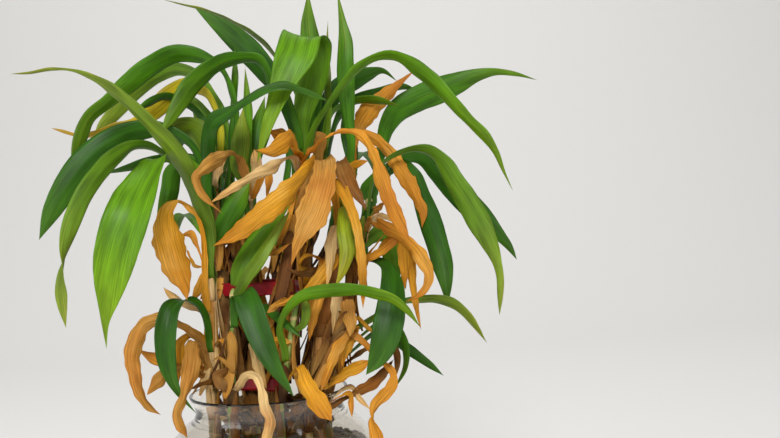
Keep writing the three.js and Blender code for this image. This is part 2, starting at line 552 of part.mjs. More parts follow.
// Lesser leaves, each grown in one with its cane.
const smallLeaves = {
  leaf_dark_behind_broad: {
    on: "cane_left_tall", from: 274, turn: [40, 20, 0], route: [
      [186, 160, -14, 8], [173, 172, -26, 12], [170, 190, -34, 13], [165, 210, -40, 11], [157, 234, -44, 1],
    ],
  },
  leaf_dark_bent: {
    on: "cane_left_tall", from: 262, turn: [0, 20, 0], cup: 0.3, route: [
      [209, 166, -10, 10], [203, 146, -10, 19], [192, 131, -14, 20], [180, 130, -20, 16],
      [170, 137, -26, 11], [161, 145, -30, 1],
    ],
  },
  leaf_rising_narrow: {
    on: "cane_front_left", from: 219, turn: [25, 20, 15], route: [
      [247, 277, -47, 8], [258, 261, -47, 9.5], [269, 243, -45, 8], [279, 227, -43, 5.5], [290, 211, -41, 1],
    ],
  },
  leaf_lime_hanging: {
    on: "cane_right_centre", from: 262, turn: [10, 0, 10], route: [
      [344, 208, -30, 7], [344, 230, -42, 10], [347, 252, -47, 10], [343, 270, -50, 6], [335, 288, -51, 1],
    ],
  },
  leaf_low_right: {
    on: "cane_right", from: 204, turn: [-30, -30, -20], route: [
      [386, 332, 14, 8], [402, 345, 18, 9], [417, 356, 20, 7.5], [431, 366, 21, 5], [444, 376, 21, 1],
    ],
  },
  leaf_small_arch_right: {
    on: "cane_right", from: 226, turn: -52, route: [
      [384, 312, -6, 6], [400, 303, -8, 8], [418, 300.5, -10, 9], [436, 300, -12, 10], [452, 304, -13, 10],
      [465, 314, -14, 9], [477, 329, -14, 6], [487, 343, -14, 1],
    ],
  },
  leaf_thin_top_left: {
    on: "cane_centre_back", from: 310, turn: 68, route: [
      [302, 112, 36, 8], [286, 74, 46, 14], [266, 47, 54, 16], [245, 30, 58, 14], [225, 18.5, 60, 12],
      [203, 10, 60, 8], [180, 4, 60, 4], [158, -2, 58, 1],
    ],
  },
  dry_leaf_kite: {
    on: "cane_right_centre", from: 284, across: [-0.9, -0.1, -0.42], cup: 0.35, route: [
      [342, 160, -32, 7], [344, 171, -46, 11], [350, 184, -52, 10], [358, 196, -55, 6], [367, 211, -56, 1],
    ],
  },
  dry_leaf_left_fold: {
    on: "cane_middle", from: 290, turn: [40, 20, 0, 30, 30, 30], cup: 0.3, route: [
      [236, 155, -14, 6], [221, 159, -22, 10], [207, 167, -28, 10], [197, 177, -31, 7], [200, 189, -33, 6],
      [210, 202, -35, 4], [223, 214, -37, 1],
    ],
  },
  dry_leaf_long_band: {
    on: "cane_centre", from: 260, turn: [30, 25, 20, 20], route: [
      [288, 158, -40, 6], [272, 168, -46, 8], [256, 175, -50, 7.5], [240, 184, -53, 6], [226, 193, -55, 4.5],
      [210, 203, -56, 1],
    ],
  },
  leaf_rising_centre_left: {
    on: "cane_front_left", from: 226, turn: [20, 10, 0], route: [
      [238, 274, -38, 11], [250, 253, -36, 15], [264, 234, -34, 13], [278, 217, -32, 7], [291, 203, -30, 1],
    ],
  },
  dry_leaf_bright_diagonal: {
    on: "cane_trunk", from: 248, turn: [10, 10, 20, 40], route: [
      [337, 254, -28, 7], [327, 269, -40, 9.5], [315, 284, -46, 8.5], [301, 296, -52, 6], [286, 303, -55, 3.5],
      [271, 307, -56, 1],
    ],
  },
  leaf_olive_centre: {
    on: "cane_right_centre", from: 276, turn: [0, -10, -20], route: [
      [338, 178, -20, 6], [338, 200, -28, 10], [345, 224, -32, 10], [353, 247, -34, 6], [357, 262, -34, 1],
    ],
  },
  dry_leaf_top_kite: {
    on: "cane_centre", from: 268, turn: [0, 20, 30], cup: 0.3, route: [
      [298, 152, -34, 6], [293, 138, -38, 12], [282, 146, -42, 12], [270, 152, -45, 8], [255, 150, -46, 1],
    ],
  },
  blade_left_back: {
    on: "cane_left_back", from: 296, turn: 50, route: [
      [232, 120, 20, 6], [234, 85, 20, 8], [235, 48, 20, 1],
    ],
  },
  blade_lime: {
    on: "cane_left_back", from: 284, turn: 10, route: [
      [216, 168, 14, 8], [218, 148, 12, 8.5], [218, 131, 12, 1],
    ],
  },
  blade_olive: {
    on: "cane_left_back", from: 304, turn: [20, 10, 0], route: [
      [216, 130, 30, 9], [203, 118, 34, 14], [192, 100, 36, 6], [180, 92, 36, 1],
    ],
  },
  blade_thin_dark: {
    on: "cane_left_back", from: 274, turn: 30, route: [
      [190, 156, 30, 6], [160, 160, 36, 9], [130, 168, 38, 8], [103, 174, 38, 1],
    ],
  },
  blade_tall_middle: {
    on: "cane_middle", from: 304, turn: 30, route: [
      [247, 140, 2, 8], [247, 105, 0, 7], [245, 66, 0, 1],
    ],
  },
  blade_dark_middle: {
    on: "cane_middle", from: 296, turn: 10, route: [
      [254, 152, 12, 10], [258, 125, 16, 10], [265, 96, 16, 1],
    ],
  },
  blade_low_middle: {
    on: "cane_middle", from: 264, turn: 0, route: [
      [240, 170, -6, 12], [241, 140, -8, 13], [243, 108, -8, 1],
    ],
  },
  blade_dark_rising: {
    on: "cane_left_tall", from: 246, turn: [10, 0, 0], route: [
      [217, 240, -12, 9], [226, 222, -16, 14], [238, 202, -16, 14], [250, 182, -14, 1],
    ],
  },
  blade_behind_yellow: {
    on: "cane_left_tall", from: 288, turn: 40, route: [
      [192, 108, 28, 6], [166, 97, 32, 8], [149, 103, 32, 7], [134, 112, 32, 1],
    ],
  },
  blade_stem_pair: {
    on: "cane_centre", from: 298, turn: 0, route: [
      [300, 140, -14, 4], [293, 112, -18, 4.5], [286, 88, -18, 1],
    ],
  },
  blade_back_right: {
    on: "cane_centre_back", from: 310, turn: -60, route: [
      [338, 108, 34, 9], [362, 101, 44, 12], [382, 102, 48, 9], [400, 106, 50, 1],
    ],
  },
  blade_pale_back: {
    on: "cane_centre_back", from: 296, turn: -40, route: [
      [335, 125, 34, 8], [352, 102, 52, 9], [380, 92, 62, 9], [404, 87, 64, 6], [417, 90, 66, 1],
    ],
  },
  blade_top_back: {
    on: "cane_centre_back", from: 302, turn: 40, route: [
      [328, 110, 26, 7], [326, 70, 30, 7], [328, 20, 32, 1],
    ],
  },
  blade_right_centre: {
    on: "cane_right_centre", from: 270, turn: -5, route: [
      [352, 160, 16, 9], [348, 130, 20, 11], [344, 104, 22, 1],
    ],
  },
  blade_right: {
    on: "cane_right", from: 256, turn: 10, route: [
      [368, 190, 16, 12], [380, 178, 22, 13], [396, 160, 26, 1],
    ],
  },
  blade_dark_right: {
    on: "cane_right", from: 242, turn: 0, route: [
      [382, 232, 12, 14], [392, 250, 16, 15], [392, 280, 18, 10], [388, 306, 18, 1],
    ],
  },
  blade_grey_low: {
    on: "cane_right", from: 216, turn: [-20, -50], route: [
      [392, 322, 2, 6], [404, 342, 0, 6], [405, 366, -2, 6], [394, 390, -4, 1],
    ],
  },
  blade_front_left: {
    on: "cane_front_left", from: 182, turn: 20, route: [
      [226, 345, -36, 7], [225, 315, -36, 9], [233, 285, -34, 1],
    ],
  },
  blade_front_right: {
    on: "cane_front_right", from: 200, turn: 0, route: [
      [303, 325, -44, 5], [306, 308, -45, 6], [302, 292, -45, 1],
    ],
  },
  blade_narrow_front: {
    on: "cane_middle", from: 222, turn: 20, route: [
      [262, 305, -20, 5], [275, 315, -34, 6], [288, 326, -42, 5], [302, 338, -46, 1],
    ],
  },
  blade_narrow_left: {
    on: "cane_left", from: 200, turn: [0, 20], route: [
      [203, 318, -26, 4], [195, 304, -30, 5], [202, 314, -36, 5], [207, 336, -38, 1],
    ],
  },
  blade_short_dark: {
    on: "cane_front_right", from: 168, turn: 0, route: [
      [291, 382, -46, 6], [292, 366, -48, 6.5], [290, 350, -48, 1],
    ],
  },
  back_blade_left: {
    on: "cane_left_tall", from: 260, turn: 50, route: [
      [208, 240, 24, 7], [192, 217, 50, 11], [181, 216, 74, 12], [173, 240, 90, 8], [168, 270, 96, 1],
    ],
  },
  dry_horn: {
    on: "cane_right_centre", from: 290, turn: 0, route: [
      [353, 166, -20, 5], [360, 163, -24, 5], [368, 161, -26, 1],
    ],
  },
  dry_triangle: {
    on: "cane_left_tall", from: 288, turn: 20, route: [
      [214, 176, -18, 8], [216, 166, -22, 10], [227, 156, -22, 1],
    ],
  },
  dry_middle_up: {
    on: "cane_middle", from: 292, turn: 0, route: [
      [256, 170, -10, 7], [256, 160, -14, 8], [254, 149, -16, 1],
    ],
  },
  dry_middle_down: {
    on: "cane_middle", from: 290, turn: 0, route: [
      [262, 180, -14, 7], [262, 190, -18, 8], [258, 204, -18, 1],
    ],
  },
  dry_middle_strip: {
    on: "cane_middle", from: 286, turn: 10, route: [
      [268, 168, -18, 5], [269, 182, -22, 5], [266, 199, -24, 1],
    ],
  },
  dry_behind_top: {
    on: "cane_centre", from: 306, turn: 20, route: [
      [290, 142, 4, 8], [281, 136, 2, 10], [268, 130, 0, 1],
    ],
  },
  dry_behind_centre: {
    on: "cane_centre_back", from: 298, turn: 0, route: [
      [318, 150, 10, 9], [319, 140, 6, 14], [308, 129, 4, 1],
    ],
  },
  dry_right_upper: {
    on: "cane_right", from: 276, turn: -30, route: [
      [374, 219, -16, 4], [382, 216, -20, 4], [393, 222, -22, 4], [403, 234, -22, 1],
    ],
  },
  dry_right_rising: {
    on: "cane_right", from: 282, turn: 10, route: [
      [374, 212, -14, 4], [382, 205, -18, 4], [391, 197, -20, 1],
    ],
  },
  dry_right_brown: {
    on: "cane_right", from: 260, turn: 10, route: [
      [370, 257, -16, 6], [382, 251, -22, 6.5], [393, 242, -26, 5], [402, 236, -28, 1],
    ],
  },
  dry_right_dark: {
    on: "cane_right", from: 264, turn: 0, route: [
      [366, 248, -14, 8], [373, 240, -16, 9], [382, 233, -18, 1],
    ],
  },
  dry_right_hanging: {
    on: "cane_right", from: 268, turn: 0, route: [
      [396, 232, -22, 4], [402, 246, -28, 6.5], [404, 264, -30, 7.5], [405, 290, -30, 1],
    ],
  },
  dry_right_long: {
    on: "cane_right", from: 262, turn: 10, route: [
      [400, 238, -24, 4], [409, 256, -32, 6.5], [413, 285, -34, 5.5], [416, 305, -34, 4],
      [421, 330, -34, 1],
    ],
  },
  dry_thin_yellow: {
    on: "cane_centre", from: 268, turn: 20, route: [
      [302, 236, -26, 4], [290, 250, -34, 4], [277, 266, -38, 4], [266, 281, -40, 4.5],
      [258, 295, -40, 1],
    ],
  },
  dry_centre_left_band: {
    on: "cane_centre", from: 250, turn: 50, route: [
      [302, 277, -28, 5], [290, 282, -34, 7], [277, 285, -38, 7], [261, 281, -38, 1],
    ],
  },
  dry_centre_right_band: {
    on: "cane_centre_back", from: 262, turn: 40, route: [
      [322, 270, -20, 5], [310, 273, -28, 7], [298, 274, -32, 6], [286, 268, -32, 1],
    ],
  },
  dry_pale_curl: {
    on: "cane_middle", from: 262, turn: 40, route: [
      [264, 252, -22, 6], [277, 251, -28, 7], [291, 243, -30, 1],
    ],
  },
  dry_brown_ring: {
    on: "cane_centre_back", from: 254, turn: 60, route: [
      [316, 268, -14, 5], [304, 270, -24, 6], [299, 262, -28, 6], [306, 255, -28, 6],
      [317, 257, -26, 5], [325, 264, -24, 1],
    ],
  },
  dry_hanging_brown: {
    on: "cane_right_centre", from: 276, turn: 0, route: [
      [334, 228, -30, 6], [331, 242, -36, 8], [330, 262, -38, 6], [326, 292, -38, 1],
    ],
  },
  dry_right_front_broad: {
    on: "cane_right_front", from: 213, turn: 0, route: [
      [347, 300, -32, 8], [349, 315, -36, 10], [351, 328, -38, 6], [350, 337, -38, 1],
    ],
  },
  dry_right_front_long: {
    on: "cane_right_front", from: 191, turn: 20, route: [
      [348, 334, -32, 4], [339, 346, -38, 7], [333, 360, -40, 7], [327, 375, -42, 6.5],
      [321, 391, -42, 1],
    ],
  },
  dry_right_front_short: {
    on: "cane_right_front", from: 199, turn: 0, route: [
      [357, 330, -26, 6], [350, 342, -32, 7], [344, 352, -34, 7], [342, 367, -34, 1],
    ],
  },
  dry_fan: {
    on: "cane_right_front", from: 183, turn: 20, route: [
      [338, 378, -34, 8], [350, 370, -38, 10], [360, 366, -40, 8], [371, 360, -40, 1],
    ],
  },
  dry_olive_low: {
    on: "cane_right_front", from: 169, turn: 20, route: [
      [358, 391, -28, 6], [370, 385, -32, 8], [383, 373, -34, 7], [394, 359, -34, 1],
    ],
  },
  dry_low_curl: {
    on: "cane_right_front", from: 163, turn: 0, route: [
      [353, 388, -24, 4], [359, 398, -30, 4], [372, 411, -34, 1],
    ],
  },
  dry_low_hanging: {
    on: "cane_right_front", from: 176, turn: 0, route: [
      [350, 394, -36, 4], [351, 404, -44, 4], [352, 418, -46, 1],
    ],
  },
  dry_right_low_hook: {
    on: "cane_right", from: 200, turn: 0, route: [
      [376, 345, -14, 3], [393, 342, -20, 4], [397, 355, -22, 5], [396, 379, -22, 1],
    ],
  },
  dry_right_front_thin: {
    on: "cane_right_front", from: 207, turn: 0, route: [
      [358, 318, -24, 3], [366, 326, -28, 3], [379, 337, -30, 1],
    ],
  },
  dry_left_drop: {
    on: "cane_left", from: 202, turn: 20, route: [
      [190, 335, -34, 5], [181, 342, -42, 7], [179, 362, -46, 7], [178, 389, -46, 1],
    ],
  },
  dry_left_out: {
    on: "cane_left", from: 192, turn: 30, route: [
      [176, 360, -36, 5], [161, 362, -44, 8], [150, 357, -48, 7.5], [137, 349, -50, 1],
    ],
  },
  dry_left_star: {
    on: "cane_left", from: 180, turn: 20, route: [
      [180, 368, -40, 5], [167, 372, -48, 8], [158, 382, -52, 9.5], [147, 395, -54, 1],
    ],
  },
  dry_strap_right: {
    on: "cane_left", from: 204, turn: 60, route: [
      [222, 340, -30, 3], [231, 347, -34, 3], [239, 359, -36, 1],
    ],
  },
  dry_strap_left: {
    on: "cane_left", from: 206, turn: 60, route: [
      [206, 338, -30, 4], [196, 342, -36, 6], [188, 354, -38, 1],
    ],
  },
  dry_strap_hook: {
    on: "cane_left", from: 188, turn: 50, route: [
      [204, 354, -30, 4], [203, 364, -34, 5], [212, 370, -36, 5], [224, 367, -36, 1],
    ],
  },
  dry_pale_hook: {
    on: "cane_front_left", from: 176, turn: 50, route: [
      [232, 372, -44, 4], [225, 363, -48, 5], [218, 358, -50, 5], [211, 362, -50, 1],
    ],
  },
  dry_yellow_flap: {
    on: "cane_front_left", from: 180, turn: 0, route: [
      [226, 372, -44, 7], [219, 376, -48, 9], [221, 384, -50, 8], [226, 392, -50, 1],
    ],
  },
  dry_red_low: {
    on: "cane_left", from: 172, turn: 30, route: [
      [210, 382, -34, 4], [200, 385, -38, 5], [189, 390, -40, 1],
    ],
  },
  dry_red_curl: {
    on: "cane_left", from: 218, turn: 30, route: [
      [190, 306, -34, 4], [178, 302, -40, 6], [171, 296, -42, 7], [163, 287, -44, 1],
    ],
  },
  dry_left_upper_curl: {
    on: "cane_left", from: 236, turn: 50, route: [
      [205, 262, -24, 4], [197, 246, -30, 6], [189, 234, -32, 6], [180, 236, -32, 1],
    ],
  },
  dry_left_lower_strip: {
    on: "cane_left", from: 230, turn: 0, route: [
      [204, 275, -26, 5], [198, 290, -30, 6.5], [192, 304, -30, 1],
    ],
  },
  dry_left_ring: {
    on: "cane_left", from: 240, turn: 60, route: [
      [204, 268, -28, 4], [193, 264, -32, 5], [187, 250, -34, 1],
    ],
  },
  dry_front_curl: {
    on: "cane_front_right", from: 212, turn: 40, route: [
      [290, 308, -46, 5], [283, 300, -50, 6], [276, 306, -52, 5], [267, 313, -52, 1],
    ],
  },
  dry_front_strip: {
    on: "cane_front_right", from: 218, turn: 10, route: [
      [291, 300, -46, 7], [287, 318, -48, 8], [284, 340, -48, 1],
    ],
  },
  dry_middle_long: {
    on: "cane_middle", from: 226, turn: 0, route: [
      [262, 296, -10, 6], [266, 312, -14, 6.5], [270, 330, -16, 6], [279, 353, -16, 1],
    ],
  },
  dry_front_arc: {
    on: "cane_front_right", from: 196, turn: 50, route: [
      [288, 344, -48, 5], [279, 341, -52, 6], [267, 347, -52, 1],
    ],
  },
  dry_front_pale_arc: {
    on: "cane_front_right", from: 190, turn: 40, route: [
      [292, 352, -48, 4], [284, 352, -52, 5], [278, 364, -52, 1],
    ],
  },
  dry_front_left_strap: {
    on: "cane_middle", from: 206, turn: 10, route: [
      [252, 342, -18, 5], [255, 356, -32, 6], [260, 371, -40, 6], [267, 390, -43, 1],
    ],
  },
  dry_trunk_left: {
    on: "cane_trunk", from: 248, turn: 0, route: [
      [326, 262, -28, 8], [320, 285, -32, 10], [314, 310, -34, 9], [309, 342, -34, 1],
    ],
  },
  dry_trunk_right: {
    on: "cane_trunk", from: 252, turn: 0, route: [
      [334, 262, -26, 6], [337, 285, -30, 8], [336, 310, -30, 7], [333, 342, -30, 1],
    ],
  },
  dry_dark_centre: {
    on: "cane_centre_back", from: 288, turn: 0, route: [
      [306, 212, -10, 8], [296, 228, -16, 10], [292, 245, -18, 10], [290, 267, -18, 1],
    ],
  },
  back_dry_right: {
    on: "cane_back_right", from: 220, turn: 40, route: [
      [336, 300, 62, 7], [345, 292, 80, 9], [350, 310, 94, 8], [350, 345, 98, 1],
    ],
  },
  back_dry_left: {
    on: "cane_left_back", from: 236, turn: 40, route: [
      [232, 275, 48, 6], [220, 262, 68, 10], [210, 275, 84, 9], [206, 305, 90, 1],
    ],
  },
  back_dry_low: {
    on: "cane_back", from: 198, turn: 40, route: [
      [280, 330, 68, 6], [290, 325, 84, 9], [296, 345, 92, 7], [298, 372, 94, 1],
    ],
  },
  back_dry_high: {
    on: "cane_back", from: 236, turn: 40, route: [
      [278, 280, 72, 8], [270, 268, 92, 11], [261, 276, 108, 10], [256, 300, 118, 7],
      [254, 330, 120, 1],
    ],
  },
};

// Where a leaf would run into a piece that is already placed, it is moved along the line of sight.
const SHIFTS = [0, -4, 4, -8, 8, -12, 12, -16, 16, -22, 22, -28, 28, -34, 34, -40, 40];
const TWISTS = [0, 15, -15, 30, -30];
const SLIDES = [0, -5, 5, -10, 10];
const TOUCH = 0.001;
const SHORTEST_EDGE = 0.015;
const THINNEST_FACE = 0.005;
const PLACE_DIGITS = 3;
const placed = new Map();

function clear(solid, own) {
  const box = solid.boundingBox();
  return [...placed].every(([name, other]) => {
    if (name === own) return true;
    const far = other.boundingBox();
    const apart = [0, 1, 2].some((k) => box.min[k] > far.max[k] || box.max[k] < far.min[k]);
    return apart || solid.intersect(other).volume() < TOUCH;
  });
}

// Whether a solid has no edge so short, and no face so thin, that it is nearly a point or a line, and
// no edge where it only touches itself.
function crisp(solid) {
  const { vertProperties, triVerts } = solid.getMesh();
  const corner = (i) => new THREE.Vector3().fromArray(vertProperties, 3 * triVerts[i]);
  const place = (p) => p.toArray().map((x) => x.toFixed(PLACE_DIGITS)).join();
  const edges = new Set();
  for (let i = 0; i < triVerts.length; i += 3) {
    const [a, b, c] = [corner(i), corner(i + 1), corner(i + 2)];
    const sides = [a.distanceTo(b), b.distanceTo(c), c.distanceTo(a)];
    const doubleArea = b.clone().sub(a).cross(c.clone().sub(a)).length();
    if (Math.min(...sides) < SHORTEST_EDGE || doubleArea / Math.max(...sides) < THINNEST_FACE) return false;
    for (const [from, to] of [[a, b], [b, c], [c, a]]) edges.add(place(from) + " " + place(to));
  }
  return edges.size === triVerts.length;
}

// The outer body of a joined solid, without the slivers that are enclosed where two blades cross.
function outerOf(solid) {
  return solid.decompose().reduce((most, body) => (body.volume() > most.volume() ? body : most));
}

// The leaf's solid at the first place where it is clear of all that is placed. A leaf that grows into
// its own cane is joined to it, and the joined solid is given.
function clearLeaf(name, leaf, own) {
  for (const slide of SLIDES) {
    for (const twist of TWISTS) {
      for (const shift of SHIFTS) {
        const solid = solidOf(bladeGeometry(leaf, shift, slide, twist));
        if (solid.volume() <= 0 || !clear(solid, own)) continue;
        if (!own) return solid;
        const joined = outerOf(placed.get(own).add(solid));
        if (crisp(joined)) return joined;
      }
    }
  }
  throw new Error(name + " finds no clear place");
}

const plant = new THREE.Group();

function show(name, geometry, material) {
  const mesh = new THREE.Mesh(geometry, material);
  mesh.name = name;
  plant.add(mesh);
}

for (const [name, cane] of Object.entries(canes)) placed.set(name, solidOf(caneGeometry(cane)));

placed.set("glass_bowl", solidOf(bowlGeometry));
show("glass_bowl", bowlGeometry, finish.glass);

// Each cane stands in a hole in the gravel, a little wider than the cane.
const HOLE_GAPS = [0.4, 0.42, 0.44, 0.46, 0.48, 0.5, 0.52, 0.54, 0.56, 0.58, 0.6];
const gravel = Object.values(canes).reduce((rest, cane) => {
  const holed = HOLE_GAPS.map((gap) => rest.subtract(solidOf(caneGeometry(cane, gap))));
  return holed.find(crisp) ?? holed[0];
}, solidOf(gravelGeometry));
placed.set("gravel", gravel);
show("gravel", geometryOf(gravel), finish.gravel);

// The red ribbon is pulled round the middle canes at two heights: the outline of the canes, tied tight.
function hullOf(points) {
  const sorted = [...points].sort((p, q) => p.x - q.x || p.y - q.y);
  const turnsLeft = (o, p, q) => (p.x - o.x) * (q.y - o.y) - (p.y - o.y) * (q.x - o.x) > 0;
  const half = (list) =>
    list.reduce((chain, point) => {
      while (chain.length > 1 && !turnsLeft(chain.at(-2), chain.at(-1), point)) chain.pop();
      return [...chain, point];
    }, []);
  return [...half(sorted).slice(0, -1), ...half(sorted.reverse()).slice(0, -1)];
}

function ribbonOutline(names, height, grown) {
  const points = names.flatMap((name) => {
    const centre = caneAxis(canes[name], height);
    const radius = canes[name].radius + grown;
    return Array.from({ length: 8 }, (_, i) => {
      const angle = (i * Math.PI) / 4;
      return new THREE.Vector2(centre.x + radius * Math.cos(angle), centre.y + radius * Math.sin(angle));
    });
  });
  return hullOf(points);
}

const RIBBON_WIDTH = 9;
const RIBBON_THICKNESS = 1;
const tied = ["cane_left_tall", "cane_left_back", "cane_middle", "cane_centre", "cane_centre_back"];
for (const [name, height] of [["ribbon_lower", 171], ["ribbon_upper", 236]]) {
  const shape = new THREE.Shape(ribbonOutline(tied, height, 1.6 + RIBBON_THICKNESS));
  shape.holes.push(new THREE.Path(ribbonOutline(tied, height, 1.6)));
  const band = new THREE.ExtrudeGeometry(shape, { depth: RIBBON_WIDTH, bevelEnabled: false });
  placed.set(name, solidOf(band.translate(0, 0, height - RIBBON_WIDTH / 2)));
  show(name, geometryOf(placed.get(name)), finish.ribbon);
}

for (const [leaves, material] of [[greenLeaves, finish.green], [dryLeaves, finish.dry]]) {
  for (const [name, leaf] of Object.entries(leaves)) {
    placed.set(name, clearLeaf(name, leaf));
    show(name, geometryOf(placed.get(name)), material);
  }
}

for (const [name, leaf] of Object.entries(smallLeaves)) {
  placed.set(leaf.on, clearLeaf(name, { ...leaf, fused: true }, leaf.on));
}

for (const name of Object.keys(canes)) show(name, geometryOf(placed.get(name)), finish.cane);

export default plant;
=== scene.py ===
"""A dying lucky bamboo in a round glass bowl: tied canes with living and dried leaves, standing in gravel.

Metres, +Z up, the origin at the centre of the bowl's foot, as in the CAD frame. Each section makes one
piece, or one group of like pieces, in the order in which the real thing is put together.
"""

import math

import bpy
import numpy as np
from mathutils import Matrix, Vector


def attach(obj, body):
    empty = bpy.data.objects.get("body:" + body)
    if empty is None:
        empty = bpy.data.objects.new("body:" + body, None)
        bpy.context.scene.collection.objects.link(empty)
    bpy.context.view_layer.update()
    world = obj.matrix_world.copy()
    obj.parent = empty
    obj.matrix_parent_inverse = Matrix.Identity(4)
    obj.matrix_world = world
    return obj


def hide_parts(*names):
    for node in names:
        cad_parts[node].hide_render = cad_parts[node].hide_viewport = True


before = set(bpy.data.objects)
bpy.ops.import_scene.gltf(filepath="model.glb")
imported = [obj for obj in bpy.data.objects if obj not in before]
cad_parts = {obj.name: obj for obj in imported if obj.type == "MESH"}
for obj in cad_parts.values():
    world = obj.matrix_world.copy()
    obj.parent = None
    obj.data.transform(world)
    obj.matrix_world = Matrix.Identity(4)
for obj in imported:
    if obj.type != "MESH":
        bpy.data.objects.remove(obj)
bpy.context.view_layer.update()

# The camera is held a little above the bowl's rim and to the right of it, and a few degrees askew.
EYE = np.array([0.0916, -0.660, 0.2788])
EYE_ROLL = math.radians(3.3)
PICTURE_DISTANCE = 941
PICTURE_CENTRE = (390, 219)
PICTURE_WIDTH = 780
SENSOR_WIDTH = 36

camera_data = bpy.data.cameras.new("camera")
camera_data.sensor_width = SENSOR_WIDTH
camera_data.lens = PICTURE_DISTANCE / PICTURE_WIDTH * SENSOR_WIDTH
camera = bpy.data.objects.new("camera", camera_data)
bpy.context.collection.objects.link(camera)
camera.matrix_world = (
    Matrix.Translation(EYE) @ Matrix.Rotation(EYE_ROLL, 4, "Y") @ Matrix.Rotation(math.radians(90), 4, "X")
)
bpy.context.scene.camera = camera

# The bowl: clear soda-lime glass, blown to a ball with a short neck, its rim flared out and fire-polished.
# It is all one wall, 2.6 mm thick, thicker at the foot that it stands on.
MM = 0.001
BODY_RADIUS = 89 * MM
FOOT_RADIUS = 45 * MM
RIM_HEIGHT = 165 * MM
RIM_RADIUS = 55.4 * MM
NECK_RADIUS = 50.8 * MM
NECK_HEIGHT = 151.5 * MM
WALL = 2.6 * MM
FLOOR = 5 * MM
BALL_CENTRE = RIM_HEIGHT - 88.5 * MM
POLE_RADIUS = 0.5 * MM
BOWL_TURNS = 96
BALL_RINGS = 40


def linear(hex_colour):
    """The linear colour of an sRGB hex value, with alpha 1."""
    parts = np.array([int(hex_colour[i : i + 2], 16) for i in (1, 3, 5)]) / 255
    low = parts / 12.92
    high = ((parts + 0.055) / 1.055) ** 2.4
    return (*np.where(parts <= 0.04045, low, high), 1.0)


def material(name):
    """A new node material, given back with its tree and its Principled shader."""
    made = bpy.data.materials.new(name)
    made.use_nodes = True
    return made, made.node_tree, made.node_tree.nodes["Principled BSDF"]


def node(tree, kind, links=None, **settings):
    """A node of a kind. links maps an input's name or number to an output or a plain value."""
    made = tree.nodes.new("ShaderNode" + kind)
    for key, value in settings.items():
        setattr(made, key, value)
    for key, value in (links or {}).items():
        if isinstance(value, bpy.types.NodeSocket):
            tree.links.new(value, made.inputs[key])
        else:
            made.inputs[key].default_value = value
    return made


def new_piece(name, points, faces, finish, stands_for=()):
    """A mesh object at the origin from an array of points and a list of faces, riding on the part."""
    mesh = bpy.data.meshes.new(name)
    mesh.from_pydata(points.reshape(-1, 3), [], faces)
    mesh.shade_smooth()
    mesh.materials.append(finish)
    made = bpy.data.objects.new(name, mesh)
    bpy.context.collection.objects.link(made)
    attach(made, "root")
    if stands_for:
        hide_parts(*stands_for)
    return made


def arc(radius, low, high, steps):
    """Radii and heights on the ball of the given radius between two heights, evenly spaced in angle."""
    ends = [math.asin((height - BALL_CENTRE) / radius) for height in (low, high)]
    angle = np.linspace(*ends, steps)
    return np.stack([radius * np.cos(angle), BALL_CENTRE + radius * np.sin(angle)], -1)


def softened(profile, times):
    """A line of points with its corners cut times times: each edge keeps its points at 1/4 and 3/4."""
    for _ in range(times):
        low, high = profile[:-1], profile[1:]
        cut = np.stack([0.75 * low + 0.25 * high, 0.25 * low + 0.75 * high], 1).reshape(-1, profile.shape[1])
        profile = np.concatenate([profile[:1], cut, profile[-1:]])
    return profile


def turned(profile, turns):
    """A profile of radius and height carried round the Z axis: x = r cos a, y = r sin a, z = height."""
    angle = np.linspace(0, 2 * np.pi, turns, endpoint=False)[:, None]
    return np.stack(
        [profile[:, 0] * np.cos(angle), profile[:, 0] * np.sin(angle), profile[:, 1] + 0 * angle], -1
    )


def wrapped_faces(count, around):
    """Quads between count rings of around points each, wound so that a ring of rising points faces out."""
    i, j = np.meshgrid(np.arange(count - 1), np.arange(around), indexing="ij")
    k = (j + 1) % around
    ring, above = i * around, (i + 1) * around
    return np.stack([ring + j, ring + k, above + k, above + j], -1).reshape(-1, 4)


def closed_faces(count, around, start=0):
    """The faces of a closed shell of count rings: its quads, and a flat cap on the first and last ring."""
    last = start + (count - 1) * around
    caps = [list(range(start, start + around))[::-1], list(range(last, last + around))]
    return (wrapped_faces(count, around) + start).tolist() + caps


# The bowl's profile runs from the foot up the outside, over the rim, and down the inside to the floor
outside = arc(BODY_RADIUS, 1.2 * MM, NECK_HEIGHT - 3 * MM, BALL_RINGS)
inside = arc(BODY_RADIUS - WALL, FLOOR, NECK_HEIGHT - 4 * MM, BALL_RINGS)[::-1]
neck = np.array(
    [
        (NECK_RADIUS, NECK_HEIGHT + 2 * MM),
        (NECK_RADIUS + 1.6 * MM, RIM_HEIGHT - 6 * MM),
        (RIM_RADIUS, RIM_HEIGHT - 1 * MM),
        (RIM_RADIUS - 1 * MM, RIM_HEIGHT),
        (RIM_RADIUS - 2.6 * MM, RIM_HEIGHT - 0.6 * MM),
        (NECK_RADIUS - 1 * MM, RIM_HEIGHT - 7 * MM),
        (NECK_RADIUS - WALL, NECK_HEIGHT + 1 * MM),
    ]
)
neck = softened(np.concatenate([outside[-1:], neck, inside[:1]]), 2)
foot = np.array([(POLE_RADIUS, 0), (FOOT_RADIUS - 4 * MM, 0), (FOOT_RADIUS, 0.2 * MM)])
floor_line = np.array([(20 * MM, FLOOR), (POLE_RADIUS, FLOOR)])
bowl_profile = np.concatenate([foot, outside[:-1], neck, inside[1:], floor_line])
bowl_points = turned(bowl_profile, BOWL_TURNS).transpose(1, 0, 2)
bowl_faces = closed_faces(len(bowl_profile), BOWL_TURNS)

